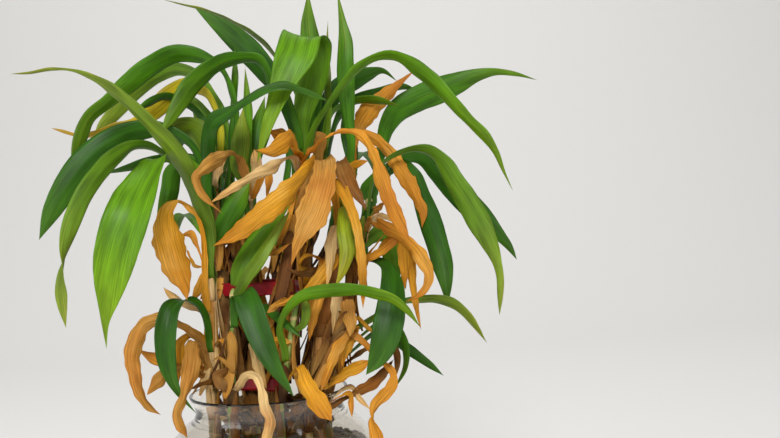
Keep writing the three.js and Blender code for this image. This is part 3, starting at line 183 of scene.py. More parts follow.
# Soda-lime glass: colourless and smooth, with a faint warm cast from the film of dust on it.
clear_glass, tree, shader = material("blown_soda_lime_glass")
shader.inputs["Base Color"].default_value = linear("#f7f3ec")
shader.inputs["Roughness"].default_value = 0.02
shader.inputs["IOR"].default_value = 1.52
shader.inputs["Transmission Weight"].default_value = 1.0
new_piece("bowl_glass", bowl_points, bowl_faces, clear_glass, ["glass_bowl"])

# The gravel: loose river pebbles of 7 to 10 mm, grey, brown and buff, filling the bowl to just under
# its neck and heaped a little round the canes. A bed of grit fills the room between them, dark as painted
# shade of the deep gaps.
GRAVEL_TOP = 127 * MM
GRAVEL_DOME = 4 * MM
BED_RADIUS = 80 * MM
PEBBLE_REACH = 85.2 * MM
PEBBLES_ROUND = 1750
PEBBLES_ON_TOP = 420
PEBBLE_SIZE = (3.6 * MM, 5.2 * MM)
PEBBLE_AXES = ([0.85, 0.75, 0.55], [1.0, 0.95, 0.8])
PEBBLE_KNOBS = 0.06
SUNK_AT_WALL = (0.9, 1.3)
SUNK_ON_TOP = (0.7, 1.2)
HEAP_RADIUS = 64 * MM
CONE_RADIUS = 67.2 * MM
GRIT_TURNS = 64
SPECKLE_SIZE = 1.111 * MM
GRIT_SIZE = 1.43 * MM
GOLDEN_ANGLE = math.pi * (3 - math.sqrt(5))
chance = np.random.default_rng(41)


def give_values(piece, name, values):
    """Stores one number for each point of a piece's mesh under a name that its material reads."""
    made = piece.data.attributes.new(name, "FLOAT", "POINT")
    made.data.foreach_set("value", np.ascontiguousarray(values, dtype=np.float32).ravel())


def pebble_shape():
    """A unit ball of 8 meridians and 3 rings with two poles, with its faces: 48 triangles' worth."""
    tilt = np.array([-45, 0, 45]) * np.pi / 180
    turn = np.arange(8) * np.pi / 4
    ring = np.stack(
        [
            np.cos(tilt)[:, None] * np.cos(turn),
            np.cos(tilt)[:, None] * np.sin(turn),
            np.sin(tilt)[:, None] + 0 * turn,
        ],
        -1,
    )
    ball = np.concatenate([[[0, 0, -1.0]], ring.reshape(-1, 3), [[0, 0, 1.0]]])
    quads = (wrapped_faces(3, 8) + 1).tolist()
    low = [(0, 1 + (k + 1) % 8, 1 + k) for k in range(8)]
    high = [(25, 17 + k, 17 + (k + 1) % 8) for k in range(8)]
    return ball, quads, low + high


def scattered(places, sizes):
    """One flattened, turned pebble at each place: the unit ball times three axis lengths and a rotation."""
    ball, quads, triangles = pebble_shape()
    many = len(places)
    spin = np.linalg.qr(chance.normal(size=(many, 3, 3)))[0]
    spin *= np.sign(np.linalg.det(spin))[:, None, None]
    lengths = sizes[:, None] * chance.uniform(*PEBBLE_AXES, (many, 3))
    knobs = 1 + chance.normal(0, PEBBLE_KNOBS, (many, len(ball), 1))
    points = places[:, None] + np.einsum("nij,npj->npi", spin, ball * knobs * lengths[:, None])
    start = np.arange(many)[:, None, None] * len(ball)
    quads = (start + np.array(quads)).reshape(-1, 4).tolist()
    triangles = (start + np.array(triangles)).reshape(-1, 3).tolist()
    return points, quads + triangles


def gravel_height(across):
    """The height of the gravel's surface at a distance from the middle: a low cone."""
    return GRAVEL_TOP + GRAVEL_DOME * (1 - across / CONE_RADIUS)


# Pebbles against the glass, one at each step of a spiral round the ball, then those of the heap on top
order = np.arange(PEBBLES_ROUND)
ball_low = (FLOOR + 5 * MM - BALL_CENTRE) / PEBBLE_REACH
ball_high = (GRAVEL_TOP - 4 * MM - BALL_CENTRE) / PEBBLE_REACH
rise = ball_low + (ball_high - ball_low) * (order + 0.5) / PEBBLES_ROUND
round_sizes = chance.uniform(*PEBBLE_SIZE, PEBBLES_ROUND)
reach = PEBBLE_REACH - round_sizes * chance.uniform(*SUNK_AT_WALL, PEBBLES_ROUND)
flat = np.sqrt(1 - rise**2)
wall_places = np.stack(
    [flat * np.cos(order * GOLDEN_ANGLE), flat * np.sin(order * GOLDEN_ANGLE), rise], -1
) * reach[:, None] + [0, 0, BALL_CENTRE]
order = np.arange(PEBBLES_ON_TOP)
top_sizes = chance.uniform(*PEBBLE_SIZE, PEBBLES_ON_TOP)
across = HEAP_RADIUS * np.sqrt((order + 0.5) / PEBBLES_ON_TOP)
top_places = np.stack(
    [
        across * np.cos(order * GOLDEN_ANGLE),
        across * np.sin(order * GOLDEN_ANGLE),
        gravel_height(across) - top_sizes * chance.uniform(*SUNK_ON_TOP, PEBBLES_ON_TOP),
    ],
    -1,
)
pebble_points, pebble_faces = scattered(
    np.concatenate([wall_places, top_places]), np.concatenate([round_sizes, top_sizes])
)

# Water-worn stone: silica and feldspar with a dull, slightly damp surface, each pebble its own colour,
# speckled by grains of 1.1 mm.
stone, tree, shader = material("river_pebble")
tone = node(tree, "Attribute", attribute_name="stone")
ramp = node(tree, "ValToRGB", {"Fac": tone.outputs["Fac"]})
for place, shade in [(0.2, "#6a4d33"), (0.42, "#8d7050"), (0.6, "#75695a"), (0.8, "#b59a70")]:
    ramp.color_ramp.elements.new(place).color = linear(shade)
ramp.color_ramp.elements[0].color = linear("#4d4238")
ramp.color_ramp.elements[-1].color = linear("#573c26")
place = node(tree, "TexCoord")
speckle = node(tree, "TexNoise", {"Vector": place.outputs["Object"], "Scale": 1 / SPECKLE_SIZE, "Detail": 3})
shade = node(tree, "MapRange", {"Value": speckle.outputs["Fac"], "To Min": 0.72, "To Max": 1.2})
mixed = node(
    tree, "VectorMath", {0: ramp.outputs["Color"], "Scale": shade.outputs["Result"]}, operation="SCALE"
)
tree.links.new(mixed.outputs["Vector"], shader.inputs["Base Color"])
shader.inputs["Roughness"].default_value = 0.55
bump = node(tree, "Bump", {"Height": speckle.outputs["Fac"], "Distance": 0.0004, "Strength": 0.5})
tree.links.new(bump.outputs["Normal"], shader.inputs["Normal"])
pebbles = new_piece("gravel_pebbles", pebble_points, pebble_faces, stone, ["gravel"])
give_values(pebbles, "stone", np.repeat(chance.uniform(0, 1, len(pebble_points)), pebble_points.shape[1]))

grit_profile = np.concatenate(
    [
        [(POLE_RADIUS, FLOOR + 4 * MM)],
        arc(BED_RADIUS, FLOOR + 4 * MM, GRAVEL_TOP - 4 * MM, 24),
        [(POLE_RADIUS, GRAVEL_TOP + GRAVEL_DOME - 5 * MM)],
    ]
)
grit_points = turned(grit_profile, GRIT_TURNS).transpose(1, 0, 2)
grit_faces = closed_faces(len(grit_profile), GRIT_TURNS)

# Grit: the same stone crushed to 1.4 mm, and dark as painted shade of the gaps between the pebbles.
grit_and_shade, tree, shader = material("grit_and_painted_shade")
place = node(tree, "TexCoord")
grains = node(tree, "TexNoise", {"Vector": place.outputs["Object"], "Scale": 1 / GRIT_SIZE, "Detail": 4})
ramp = node(tree, "ValToRGB", {"Fac": grains.outputs["Fac"]})
ramp.color_ramp.elements[0].color = linear("#1f1812")
ramp.color_ramp.elements[1].color = linear("#5a4936")
tree.links.new(ramp.outputs["Color"], shader.inputs["Base Color"])
shader.inputs["Roughness"].default_value = 0.8
new_piece("gravel_bed", grit_points, grit_faces, grit_and_shade)

# The canes: stems of ribbon dracaena, 5 to 15 mm thick, with a ring-shaped leaf scar every 12 to 20 mm.
# They stand in the gravel, lean outward above the neck, and end in a blunt growing tip.
CANE_FOOT_HEIGHT = 60 * MM
CANE_FOOT_SHARE = 0.88
CANE_BEND_HEIGHT = 158 * MM
CANE_TAPER = 0.62
CANE_SKIN = 0.3 * MM
CANE_TURNS = 18
CANE_RINGS = 150
SCARS = 24
SCARS_APART = (12, 20)
SCAR_WIDTH = 1.1 * MM
SCAR_RISE = 0.4 * MM
SWELL = 0.25 * MM
SWELL_PITCH = 23 * MM
BLUNT_END = 3 * MM
FLUTES = 3
FLUTE_DEPTH = 0.03
WRINKLE_SIZE = 1.111 * MM
WRINKLE_STRETCH = (1, 1, 0.12)
BLOTCH_SIZE = 25 * MM
STRAND_SIZE = 1.43 * MM
STRAND_STRETCH = (1, 1, 0.05)
GREEN_CANES = ("cane_front_left", "cane_front_right")
# Where each passes the neck (x, y), its tip (x, y, z) and its radius at the foot, in millimetres
CANES = {
    "cane_left": ((-37, -16), (-31.8, -18, 260.6), 4.4),
    "cane_front_left": ((-20, -36), (-15.0, -36, 239.1), 3.8),
    "cane_front_right": ((12, -38), (27.7, -42, 231.8), 3.5),
    "cane_trunk": ((33, -14), (52.1, -16, 259.8), 7.6),
    "cane_right": ((40, 7), (78.4, 6, 295.9), 4.4),
    "cane_centre": ((3, -14), (34.1, -8, 328.6), 4.6),
    "cane_centre_back": ((4, 14), (43.8, 24, 320.9), 4.4),
    "cane_right_centre": ((26, 9), (66.9, 4, 316.3), 4.3),
    "cane_left_tall": ((-27, 1), (-29.9, -2, 321.5), 4.4),
    "cane_left_back": ((-18, 22), (-23.3, 26, 324.9), 4.2),
    "cane_middle": ((-9, 1), (-5.4, 4, 312.0), 4.4),
    "cane_back_right": ((22, 32), (53.4, 48, 295.3), 4.2),
    "cane_back": ((-1, 37), (6.9, 58, 294.4), 4.2),
    "cane_right_front": ((30, -31), (61.6, -31, 223.6), 3.4),
}


def cane_axis(name, height):
    """Centres of a cane at an array of heights: straight up to the bend at the neck, then to its tip."""
    neck_at, tip, _ = CANES[name]
    foot_at = np.array([*(np.array(neck_at) * CANE_FOOT_SHARE * MM), CANE_FOOT_HEIGHT])
    bend = np.array([neck_at[0] * MM, neck_at[1] * MM, CANE_BEND_HEIGHT])
    tip = np.array(tip) * MM
    height = np.asarray(height, dtype=float)
    low = foot_at + (bend - foot_at) * ((height - foot_at[2]) / (bend[2] - foot_at[2]))[..., None]
    high = bend + (tip - bend) * ((height - bend[2]) / (tip[2] - bend[2]))[..., None]
    return np.where((height < CANE_BEND_HEIGHT)[..., None], low, high)


def cane_radius(name, height):
    """Radii of a cane at an array of heights: an even taper to 62% at the tip."""
    share = (np.asarray(height) - CANE_FOOT_HEIGHT) / (CANES[name][1][2] * MM - CANE_FOOT_HEIGHT)
    return CANES[name][2] * MM * (1 - (1 - CANE_TAPER) * np.clip(share, 0, 1))


def cane_surface(name):
    """Rings up a cane, with how far each lies on a scar: the tapered radius, a slow swell and the ridges.

    A ridge is a bell curve of the distance to the nearest scar. The last 3 mm close as a square root, and
    three shallow flutes run up the cane.
    """
    top = CANES[name][1][2] * MM
    height = np.linspace(CANE_FOOT_HEIGHT, top, CANE_RINGS)
    scars = np.cumsum(chance.uniform(*SCARS_APART, SCARS)) * MM + CANE_FOOT_HEIGHT
    nearest = np.abs(height[:, None] - scars).min(1)
    ridge = SCAR_RISE * np.exp(-((nearest / SCAR_WIDTH) ** 2))
    swell = SWELL * np.sin(height / SWELL_PITCH + len(name))
    blunt = np.sqrt(np.clip((top - height) / BLUNT_END, 0.003, 1))
    radius = (cane_radius(name, height) - CANE_SKIN + ridge + swell) * blunt
    angle = np.linspace(0, 2 * np.pi, CANE_TURNS, endpoint=False)
    ring = np.stack([np.cos(angle), np.sin(angle), 0 * angle], -1)
    flute = 1 + FLUTE_DEPTH * np.sin(FLUTES * angle + 7 * height[:, None] / top)
    points = cane_axis(name, height)[:, None] + ring * (radius[:, None] * flute)[..., None]
    return points, ridge / SCAR_RISE


# Dracaena bark: smooth and waxy, olive where it still lives and straw-brown where it has dried, in
# blotches of 25 mm, with corky tan scars and lengthwise wrinkles 1.1 mm apart.
bark, tree, shader = material("dracaena_bark")
place = node(tree, "TexCoord")
stretched = node(tree, "Mapping", {"Vector": place.outputs["Object"], "Scale": WRINKLE_STRETCH})
grain = node(
    tree, "TexNoise", {"Vector": stretched.outputs["Vector"], "Scale": 1 / WRINKLE_SIZE, "Detail": 4}
)
blotch = node(tree, "TexNoise", {"Vector": place.outputs["Object"], "Scale": 1 / BLOTCH_SIZE, "Detail": 3})
patch = node(tree, "ValToRGB", {"Fac": blotch.outputs["Fac"]})
patch.color_ramp.elements[0].position = 0.3
patch.color_ramp.elements[0].color = linear("#7b5a30")
patch.color_ramp.elements[1].position = 0.7
patch.color_ramp.elements[1].color = linear("#b09455")
patch.color_ramp.elements.new(0.5).color = linear("#8f8346")
scar = node(tree, "Attribute", attribute_name="scar")
corky = node(
    tree, "Mix", {0: scar.outputs["Fac"], 6: patch.outputs["Color"], 7: linear("#c9ac74")}, data_type="RGBA"
)
streak = node(tree, "MapRange", {"Value": grain.outputs["Fac"], "To Min": 0.7, "To Max": 1.25})
mixed = node(tree, "VectorMath", {0: corky.outputs[2], "Scale": streak.outputs["Result"]}, operation="SCALE")
tree.links.new(mixed.outputs["Vector"], shader.inputs["Base Color"])
shader.inputs["Roughness"].default_value = 0.55
bump = node(tree, "Bump", {"Height": grain.outputs["Fac"], "Distance": 0.0004, "Strength": 0.6})
tree.links.new(bump.outputs["Normal"], shader.inputs["Normal"])

# Bark of the canes in front that still live: the same, but green and seldom yellowed.
green_bark = bark.copy()
green_bark.name = "living_dracaena_bark"
green_stops = green_bark.node_tree.nodes[patch.name].color_ramp.elements
for stop, shade in zip(green_stops, ("#4f6a1c", "#6f8a34", "#98a252")):
    stop.color = linear(shade)

# Bark of the thick cane: its leaves rotted to long brown fibres, 1.4 mm wide, that hide the scars.
fibrous, tree, shader = material("shredded_dracaena_bark")
place = node(tree, "TexCoord")
stretched = node(tree, "Mapping", {"Vector": place.outputs["Object"], "Scale": STRAND_STRETCH})
strands = node(
    tree, "TexNoise", {"Vector": stretched.outputs["Vector"], "Scale": 1 / STRAND_SIZE, "Detail": 5}
)
ramp = node(tree, "ValToRGB", {"Fac": strands.outputs["Fac"]})
ramp.color_ramp.elements[0].position = 0.32
ramp.color_ramp.elements[0].color = linear("#5e3814")
ramp.color_ramp.elements[1].position = 0.72
ramp.color_ramp.elements[1].color = linear("#c08840")
tree.links.new(ramp.outputs["Color"], shader.inputs["Base Color"])
shader.inputs["Roughness"].default_value = 0.7
bump = node(tree, "Bump", {"Height": strands.outputs["Fac"], "Distance": 0.0008, "Strength": 0.8})
tree.links.new(bump.outputs["Normal"], shader.inputs["Normal"])

for name in CANES:
    points, ridge = cane_surface(name)
    faces = closed_faces(CANE_RINGS, CANE_TURNS)
    finish = fibrous if name == "cane_trunk" else green_bark if name in GREEN_CANES else bark
    stalk = new_piece("stalk_" + name[5:], points, faces, finish, [name])
    give_values(stalk, "scar", np.repeat(ridge, CANE_TURNS))

# The ribbons: red satin gift ribbon, 9 mm wide, pulled tight round the middle canes. No knot is seen
# between the leaves, so each is a closed flat strap round the outline of the canes that it ties.
TIED = ("cane_left_tall", "cane_left_back", "cane_middle", "cane_centre", "cane_centre_back")
RIBBON_WIDTH = 9 * MM
RIBBON_THICKNESS = 0.5 * MM
RIBBON_TURNS = 220
RIBBON_OFF_CANES = 1.7 * MM
RIBBON_SAG = 0.35 * MM
RIBBON_SAG_PITCH = 7 * MM
CREASE_SIZE = 6.25 * MM
OUTLINE_STEPS = 720
# The ribbon's section, as shares of its width (up) and thickness (out), dented along its middle
RIBBON_SECTION = np.array(
    [(-0.5, 0), (-0.5, 1), (-0.3, 1), (0, 0.8), (0.3, 1), (0.5, 1), (0.5, 0), (0.3, 0), (-0.3, 0)]
)


def ribbon_outline(height):
    """Points evenly spaced round the tied canes, with their lengths along the ribbon.

    In each direction the outline lies at the furthest reach of the canes' circles, h, and turns by the
    slope of that reach: middle + facing h + aside dh/da.
    """
    centres = np.array([cane_axis(name, height) for name in TIED])
    middle = centres[:, :2].mean(0)
    angle = np.linspace(0, 2 * np.pi, OUTLINE_STEPS, endpoint=False)
    facing = np.stack([np.cos(angle), np.sin(angle)], -1)
    radii = np.array([CANES[name][2] * MM for name in TIED]) + RIBBON_OFF_CANES
    support = ((centres[:, :2] - middle) @ facing.T + radii[:, None]).max(0)
    slope = np.gradient(np.concatenate([support, support[:1]]), angle[1])[:-1]
    aside = np.stack([-facing[:, 1], facing[:, 0]], -1)
    line = middle + facing * support[:, None] + aside * slope[:, None]
    line = np.concatenate([line, line[:1]])
    length = np.concatenate([[0], np.cumsum(np.linalg.norm(np.diff(line, axis=0), axis=1))])
    even = np.linspace(0, length[-1], RIBBON_TURNS, endpoint=False)
    return np.stack([np.interp(even, length, line[:, k]) for k in range(2)], -1), even


# Polyester satin: smooth, with a soft sheen along the threads and small creases across. Its red darkens
# with the crease noise that also dents it: painted shade in the creases.
satin, tree, shader = material("red_polyester_satin")
place = node(tree, "TexCoord")
crease = node(tree, "TexNoise", {"Vector": place.outputs["Object"], "Scale": 1 / CREASE_SIZE, "Detail": 4})
ramp = node(tree, "ValToRGB", {"Fac": crease.outputs["Fac"]})
ramp.color_ramp.elements[0].color = linear("#5c0610")
ramp.color_ramp.elements[1].color = linear("#a8101c")
tree.links.new(ramp.outputs["Color"], shader.inputs["Base Color"])
shader.inputs["Roughness"].default_value = 0.34
shader.inputs["Specular IOR Level"].default_value = 0.3
bump = node(tree, "Bump", {"Height": crease.outputs["Fac"], "Distance": 0.001, "Strength": 0.5})
tree.links.new(bump.outputs["Normal"], shader.inputs["Normal"])

for name, height in [("ribbon_lower", 171 * MM), ("ribbon_upper", 236 * MM)]:
    line, along = ribbon_outline(height)
    ahead = np.roll(line, -1, 0) - np.roll(line, 1, 0)
    outward = np.stack([ahead[:, 1], -ahead[:, 0]], -1)
    outward /= np.linalg.norm(outward, axis=1)[:, None]
    sag = RIBBON_SAG * np.sin(along / RIBBON_SAG_PITCH)
    rim = line[:, None] + outward[:, None] * RIBBON_SECTION[:, 1][:, None] * RIBBON_THICKNESS
    rise_at = height + RIBBON_SECTION[:, 0] * RIBBON_WIDTH + sag[:, None]
    points = np.concatenate([rim, rise_at[..., None]], -1)
    around = len(RIBBON_SECTION)
    first = np.arange(around)
    last = first + (RIBBON_TURNS - 1) * around
    closing = np.stack([last, np.roll(last, -1), np.roll(first, -1), first], -1)
    faces = np.concatenate([wrapped_faces(RIBBON_TURNS, around), closing])[:, ::-1].tolist()
    new_piece(name + "_satin", points, faces, satin, [name])

# The leaves: thin pointed straps of ribbon dracaena that clasp their cane at the base. Each is drawn
# over its CAD solid, whose rings of two edges and a keel give the leaf's path, width, cup and twist.
KEEL_DEPTH = 0.45 * MM
LEAF_STATIONS = 72
LEAF_ACROSS = 13
MIDRIB_DEPTH = 0.3 * MM
MIDRIB_SHARE = 0.14
TEAR_PITCHES = (5.3 * MM, 2.1 * MM)
DENT_PITCHES = (3.4 * MM, 7.9 * MM)
TIP_CLOSENESS = 1.15
CLASP = 3 * MM
FAR_FROM_CANE = 6 * MM
DECAY_SIZE = 16.67 * MM
WEATHER_AND_LIGHT_SIZE = 31.25 * MM


def rings_of(name):
    """For each leaf in a CAD node: its rings of 3 points from the tip down, and the tip.

    A leaf's tip is a point with 3 neighbours, and each ring is the next 3 points out from it.
    """
    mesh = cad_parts[name].data
    points = np.empty(len(mesh.vertices) * 3, np.float32)
    mesh.vertices.foreach_get("co", points)
    keys, which = np.unique(np.round(points.reshape(-1, 3), 6), axis=0, return_inverse=True)
    corners = np.empty(len(mesh.loops), np.int32)
    mesh.loops.foreach_get("vertex_index", corners)
    triangles = which.reshape(-1)[corners].reshape(-1, 3)
    touching = {}
    for a, b, c in triangles.tolist():
        touching.setdefault(a, set()).update((b, c))
        touching.setdefault(b, set()).update((a, c))
        touching.setdefault(c, set()).update((a, b))
    leaves = []
    for tip, near in touching.items():
        seen_points, ring, rings = {tip}, near, []
        while len(ring) == 3 and all(other in touching[one] for one in ring for other in ring - {one}):
            rings.append(sorted(ring))
            seen_points |= ring
            ring = set().union(*(touching[one] for one in ring)) - seen_points
        if len(rings) > 1:
            leaves.append((keys[np.array(rings)].astype(float), keys[tip].astype(float)))
    return leaves


def rails_of(rings, tip):
    """Left edge, midline, right edge and normal of a leaf from base to tip, as arrays of points.

    In a ring the keel is the point opposite the longest side. Left and right follow on from ring to
    ring by the shortest way, and are chosen so that across x along points away from the keel.
    """
    rings = rings[::-1]
    sides = np.linalg.norm(np.roll(rings, -1, 1) - np.roll(rings, -2, 1), axis=2)
    keel_at = sides.argmax(1)
    rows = np.arange(len(rings))
    keel = rings[rows, keel_at]
    edge = [rings[rows, (keel_at + 1) % 3], rings[rows, (keel_at + 2) % 3]]
    for i in range(1, len(rings)):
        straight, crossed = (
            np.linalg.norm(edge[a][i] - edge[0][i - 1]) + np.linalg.norm(edge[b][i] - edge[1][i - 1])
            for a, b in ((0, 1), (1, 0))
        )
        if crossed < straight:
            edge[0][i], edge[1][i] = edge[1][i].copy(), edge[0][i].copy()
    up = (edge[0] + edge[1]) / 2 - keel
    up /= np.linalg.norm(up, axis=1)[:, None]
    middle = keel + up * KEEL_DEPTH
    along = np.diff(np.concatenate([middle, tip[None]]), axis=0)
    facing = (np.cross(edge[1] - edge[0], along) * up).sum(1)
    if (np.sign(facing) * np.linalg.norm(edge[1] - edge[0], axis=1)).sum() < 0:
        edge = edge[::-1]
    ends = [np.concatenate([rail, tip[None]]) for rail in (edge[0], middle, edge[1])]
    return (*ends, np.concatenate([up, up[-1:]]))


def smooth_along(values, places, at):
    """Cubic Hermite curve through values at places, sampled at, with centred slopes."""
    slope = np.gradient(values, places, axis=0)
    i = np.clip(np.searchsorted(places, at, side="right") - 1, 0, len(places) - 2)
    gap = (places[i + 1] - places[i])[:, None]
    t = (at - places[i])[:, None] / gap
    return (
        values[i] * (1 + 2 * t) * (1 - t) ** 2
        + slope[i] * gap * t * (1 - t) ** 2
        + values[i + 1] * t**2 * (3 - 2 * t)
        + slope[i + 1] * gap * t**2 * (t - 1)
    )


def leaf_surface(rails, look):
    """A thin closed blade over three rails, as rings of points round it from base to tip.

    At share s across, -1 to 1, a point lies at middle + s (right - left) / 2 + s^2 (cup) + normal d,
    where d is the midrib's groove, lengthwise pleats, small dents, the waves of the edges and the curl
    of age. The half width varies with the tears of the edge. The blade thins from its midrib outward.
    """
    left, middle, right, up = rails
    step = np.linalg.norm(np.diff(middle, axis=0), axis=1)
    places = np.concatenate([[0], np.cumsum(np.maximum(step, 1e-5))])
    at = places[-1] * (1 - (1 - np.linspace(0, 1, look["stations"])) ** TIP_CLOSENESS)
    left, middle, right, up = (smooth_along(rail, places, at) for rail in (left, middle, right, up))
    up /= np.linalg.norm(up, axis=1)[:, None]
    share = at / places[-1]
    tears = np.sin(at / TEAR_PITCHES[0] + look["phase"]) * np.sin(at / TEAR_PITCHES[1])
    half = (right - left) / 2 * (1 + look["ragged"] * tears)[:, None]
    width = np.linalg.norm(half, axis=1)
    s = np.linspace(-1, 1, LEAF_ACROSS)
    bell = np.sin(np.pi * np.clip(share, 0, 1)) ** 0.5
    groove = -MIDRIB_DEPTH * np.exp(-((s / MIDRIB_SHARE) ** 2))
    pleat = look["pleat"] * np.cos(s * look["pleats"] * np.pi)
    wave = look["wave"] * np.sin(at / look["pitch"] + look["phase"])[:, None] * s**2 * np.sign(s + 0.2)
    wave = wave + 0.5 * look["wave"] * np.sin(at / (0.37 * look["pitch"]) + 2)[:, None] * s**3
    curl = look["curl"] * width[:, None] * np.abs(s) ** 3
    dent = np.sin(at[:, None] / DENT_PITCHES[0] + 4 * s + look["phase"])
    dent = dent * np.sin(at[:, None] / DENT_PITCHES[1] - 3 * s)
    wave = wave + look["dent"] * dent * np.clip(width / (5 * MM), 0, 1)[:, None]
    lift = (groove + pleat) * np.clip(width / (4 * MM), 0, 1)[:, None] + (wave + curl) * bell[:, None]
    drawn_in = 1 - 0.25 * look["curl"] * np.abs(s) ** 3
    top = (
        middle[:, None]
        + half[:, None] * (s * drawn_in)[:, None]
        + ((left + right) / 2 - middle)[:, None] * (s**2)[:, None]
        + up[:, None] * lift[..., None]
    )
    thick = look["thickness"] * (1 - 0.6 * s**2) * np.clip(width / (2 * MM), 0.15, 1)[:, None]
    under = top - up[:, None] * thick[..., None]
    ring = np.concatenate([top, under[:, ::-1]], 1)
    s_ring = np.concatenate([s, s[::-1]])
    uv = np.stack([np.repeat(at[:, None], len(s_ring), 1), width[:, None] * s_ring], -1) / MM
    return ring, uv, share, s_ring


def leaf_piece(name, leaves, finish, stands_for=()):
    """One mesh of many blades, from a list of (surface, look). A look's tones colour it from base to tip.

    Age grows with the share along and, near the edges, with the sixth power of the share across.
    """
    points, faces, coats, tints, ages = [], [], [], [], []
    start = 0
    for (ring, uv, share, s_ring), look in leaves:
        count, around = ring.shape[:2]
        faces += closed_faces(count, around, start)
        tones = np.array([linear(tone)[:3] for tone in look["tones"]])
        stops = np.linspace(0, 1, len(tones))
        tint = np.stack([np.interp(share, stops, tones[:, k]) for k in range(3)], -1)
        tint = np.repeat(tint[:, None], around, 1)
        # The under side takes the look's under factor: painted shade where it is below 1, painted light
        # where above.
        tint[:, around // 2 :] *= look["under"]
        points.append(ring.reshape(-1, 3))
        coats.append(uv.reshape(-1, 2))
        tints.append(tint.reshape(-1, 3))
        age = look["age"] * (0.25 + 0.75 * share[:, None] ** 2 + 0.35 * s_ring**6)
        ages.append(np.clip(age, 0, 1).ravel())
        start += count * around
    made = new_piece(name, np.concatenate(points), faces, finish, stands_for)
    coat = np.concatenate(coats)
    corners = np.empty(len(made.data.loops), np.int32)
    made.data.loops.foreach_get("vertex_index", corners)
    layer = made.data.uv_layers.new(name="along_leaf")
    layer.uv.foreach_set("vector", coat[corners].astype(np.float32).ravel())
    colour = made.data.attributes.new("tint", "FLOAT_COLOR", "POINT")
    tint = np.concatenate([np.concatenate(tints), np.ones((start, 1))], 1)
    colour.data.foreach_set("color", tint.astype(np.float32).ravel())
    give_values(made, "age", np.concatenate(ages))


def joined_to_cane(rails, name):
    """Rails with one more ring at the base, inside the cane, so that the leaf grows out of it.

    The ring is on the cane's axis where the leaf starts far off it, and otherwise 3 mm further in.
    """
    left, middle, right, up = rails
    height = np.clip(middle[0, 2], CANE_FOOT_HEIGHT, CANES[name][1][2] * MM - 2 * MM)
    axis = cane_axis(name, height)
    inward = axis - middle[0]
    reach = np.linalg.norm(inward[:2])
    if reach > FAR_FROM_CANE:
        base = axis - [0, 0, 0.5 * reach]
    else:
        base = middle[0] + inward / max(reach, 1e-4) * min(reach, CLASP) - [0, 0, 1 * MM]
    aside = (right[0] - left[0]) / 2
    aside = aside / np.linalg.norm(aside) * min(np.linalg.norm(aside), CLASP)
    first = (base - aside, base, base + aside, up[0])
    return tuple(np.concatenate([[row], rail]) for row, rail in zip(first, rails))


def let_light_through(tree, shader, colour, share):
    """Gives a leaf's material a share of light that comes through the blade in the leaf's own colour."""
    glow = node(tree, "BsdfTranslucent", {"Color": colour})
    through = node(tree, "MixShader", {0: share, 1: shader.outputs["BSDF"], 2: glow.outputs["BSDF"]})
    tree.links.new(through.outputs["Shader"], tree.nodes["Material Output"].inputs["Surface"])


# Living dracaena leaf: a smooth waxy skin over fine parallel veins, brighter where light comes through,
# yellowing and browning from the tip and the edges inward. The UV map is in millimetres, along the leaf
# and across it: veins 50 mm long and 0.77 mm wide, drawn as coarse as they need to show, and paler and
# darker bands 33 mm long and 6 mm wide.
living, tree, shader = material("living_dracaena_leaf")
tint = node(tree, "Attribute", attribute_name="tint")
age = node(tree, "Attribute", attribute_name="age")
sheet = node(tree, "UVMap", uv_map="along_leaf")
stretched = node(tree, "Mapping", {"Vector": sheet.outputs["UV"], "Scale": (1 / 50, 1 / 0.77, 1)})
veins = node(tree, "TexNoise", {"Vector": stretched.outputs["Vector"], "Scale": 1, "Detail": 2})
vein_shade = node(
    tree,
    "MapRange",
    {"Value": veins.outputs["Fac"], "From Min": 0.3, "From Max": 0.7, "To Min": 0.76, "To Max": 1.22},
)
bands = node(tree, "Mapping", {"Vector": sheet.outputs["UV"], "Scale": (1 / 33, 1 / 6.25, 1)})
mottle = node(tree, "TexNoise", {"Vector": bands.outputs["Vector"], "Scale": 1, "Detail": 4})
mottle_shade = node(
    tree,
    "MapRange",
    {"Value": mottle.outputs["Fac"], "From Min": 0.3, "From Max": 0.7, "To Min": 0.62, "To Max": 1.3},
)
shades = node(
    tree, "Math", {0: vein_shade.outputs["Result"], 1: mottle_shade.outputs["Result"]}, operation="MULTIPLY"
)
green = node(
    tree, "VectorMath", {0: tint.outputs["Color"], "Scale": shades.outputs["Value"]}, operation="SCALE"
)
patches = node(tree, "TexNoise", {"Vector": stretched.outputs["Vector"], "Scale": 0.6, "Detail": 5})
decay = node(tree, "Math", {0: age.outputs["Fac"], 1: patches.outputs["Fac"]}, operation="ADD")
yellowed = node(tree, "MapRange", {"Value": decay.outputs["Value"], "From Min": 0.72, "From Max": 1.0})
browned = node(tree, "MapRange", {"Value": decay.outputs["Value"], "From Min": 1.12, "From Max": 1.3})
yellow = {0: yellowed.outputs["Result"], 6: green.outputs["Vector"], 7: linear("#b3a03c")}
first = node(tree, "Mix", yellow, data_type="RGBA")
brown = {0: browned.outputs["Result"], 6: first.outputs[2], 7: linear("#a8793e")}
last = node(tree, "Mix", brown, data_type="RGBA")
tree.links.new(last.outputs[2], shader.inputs["Base Color"])
shader.inputs["Roughness"].default_value = 0.42
shader.inputs["Specular IOR Level"].default_value = 0.22
bump = node(tree, "Bump", {"Height": veins.outputs["Fac"], "Distance": 0.0003, "Strength": 0.5})
tree.links.new(bump.outputs["Normal"], shader.inputs["Normal"])
let_light_through(tree, shader, last.outputs[2], 0.22)
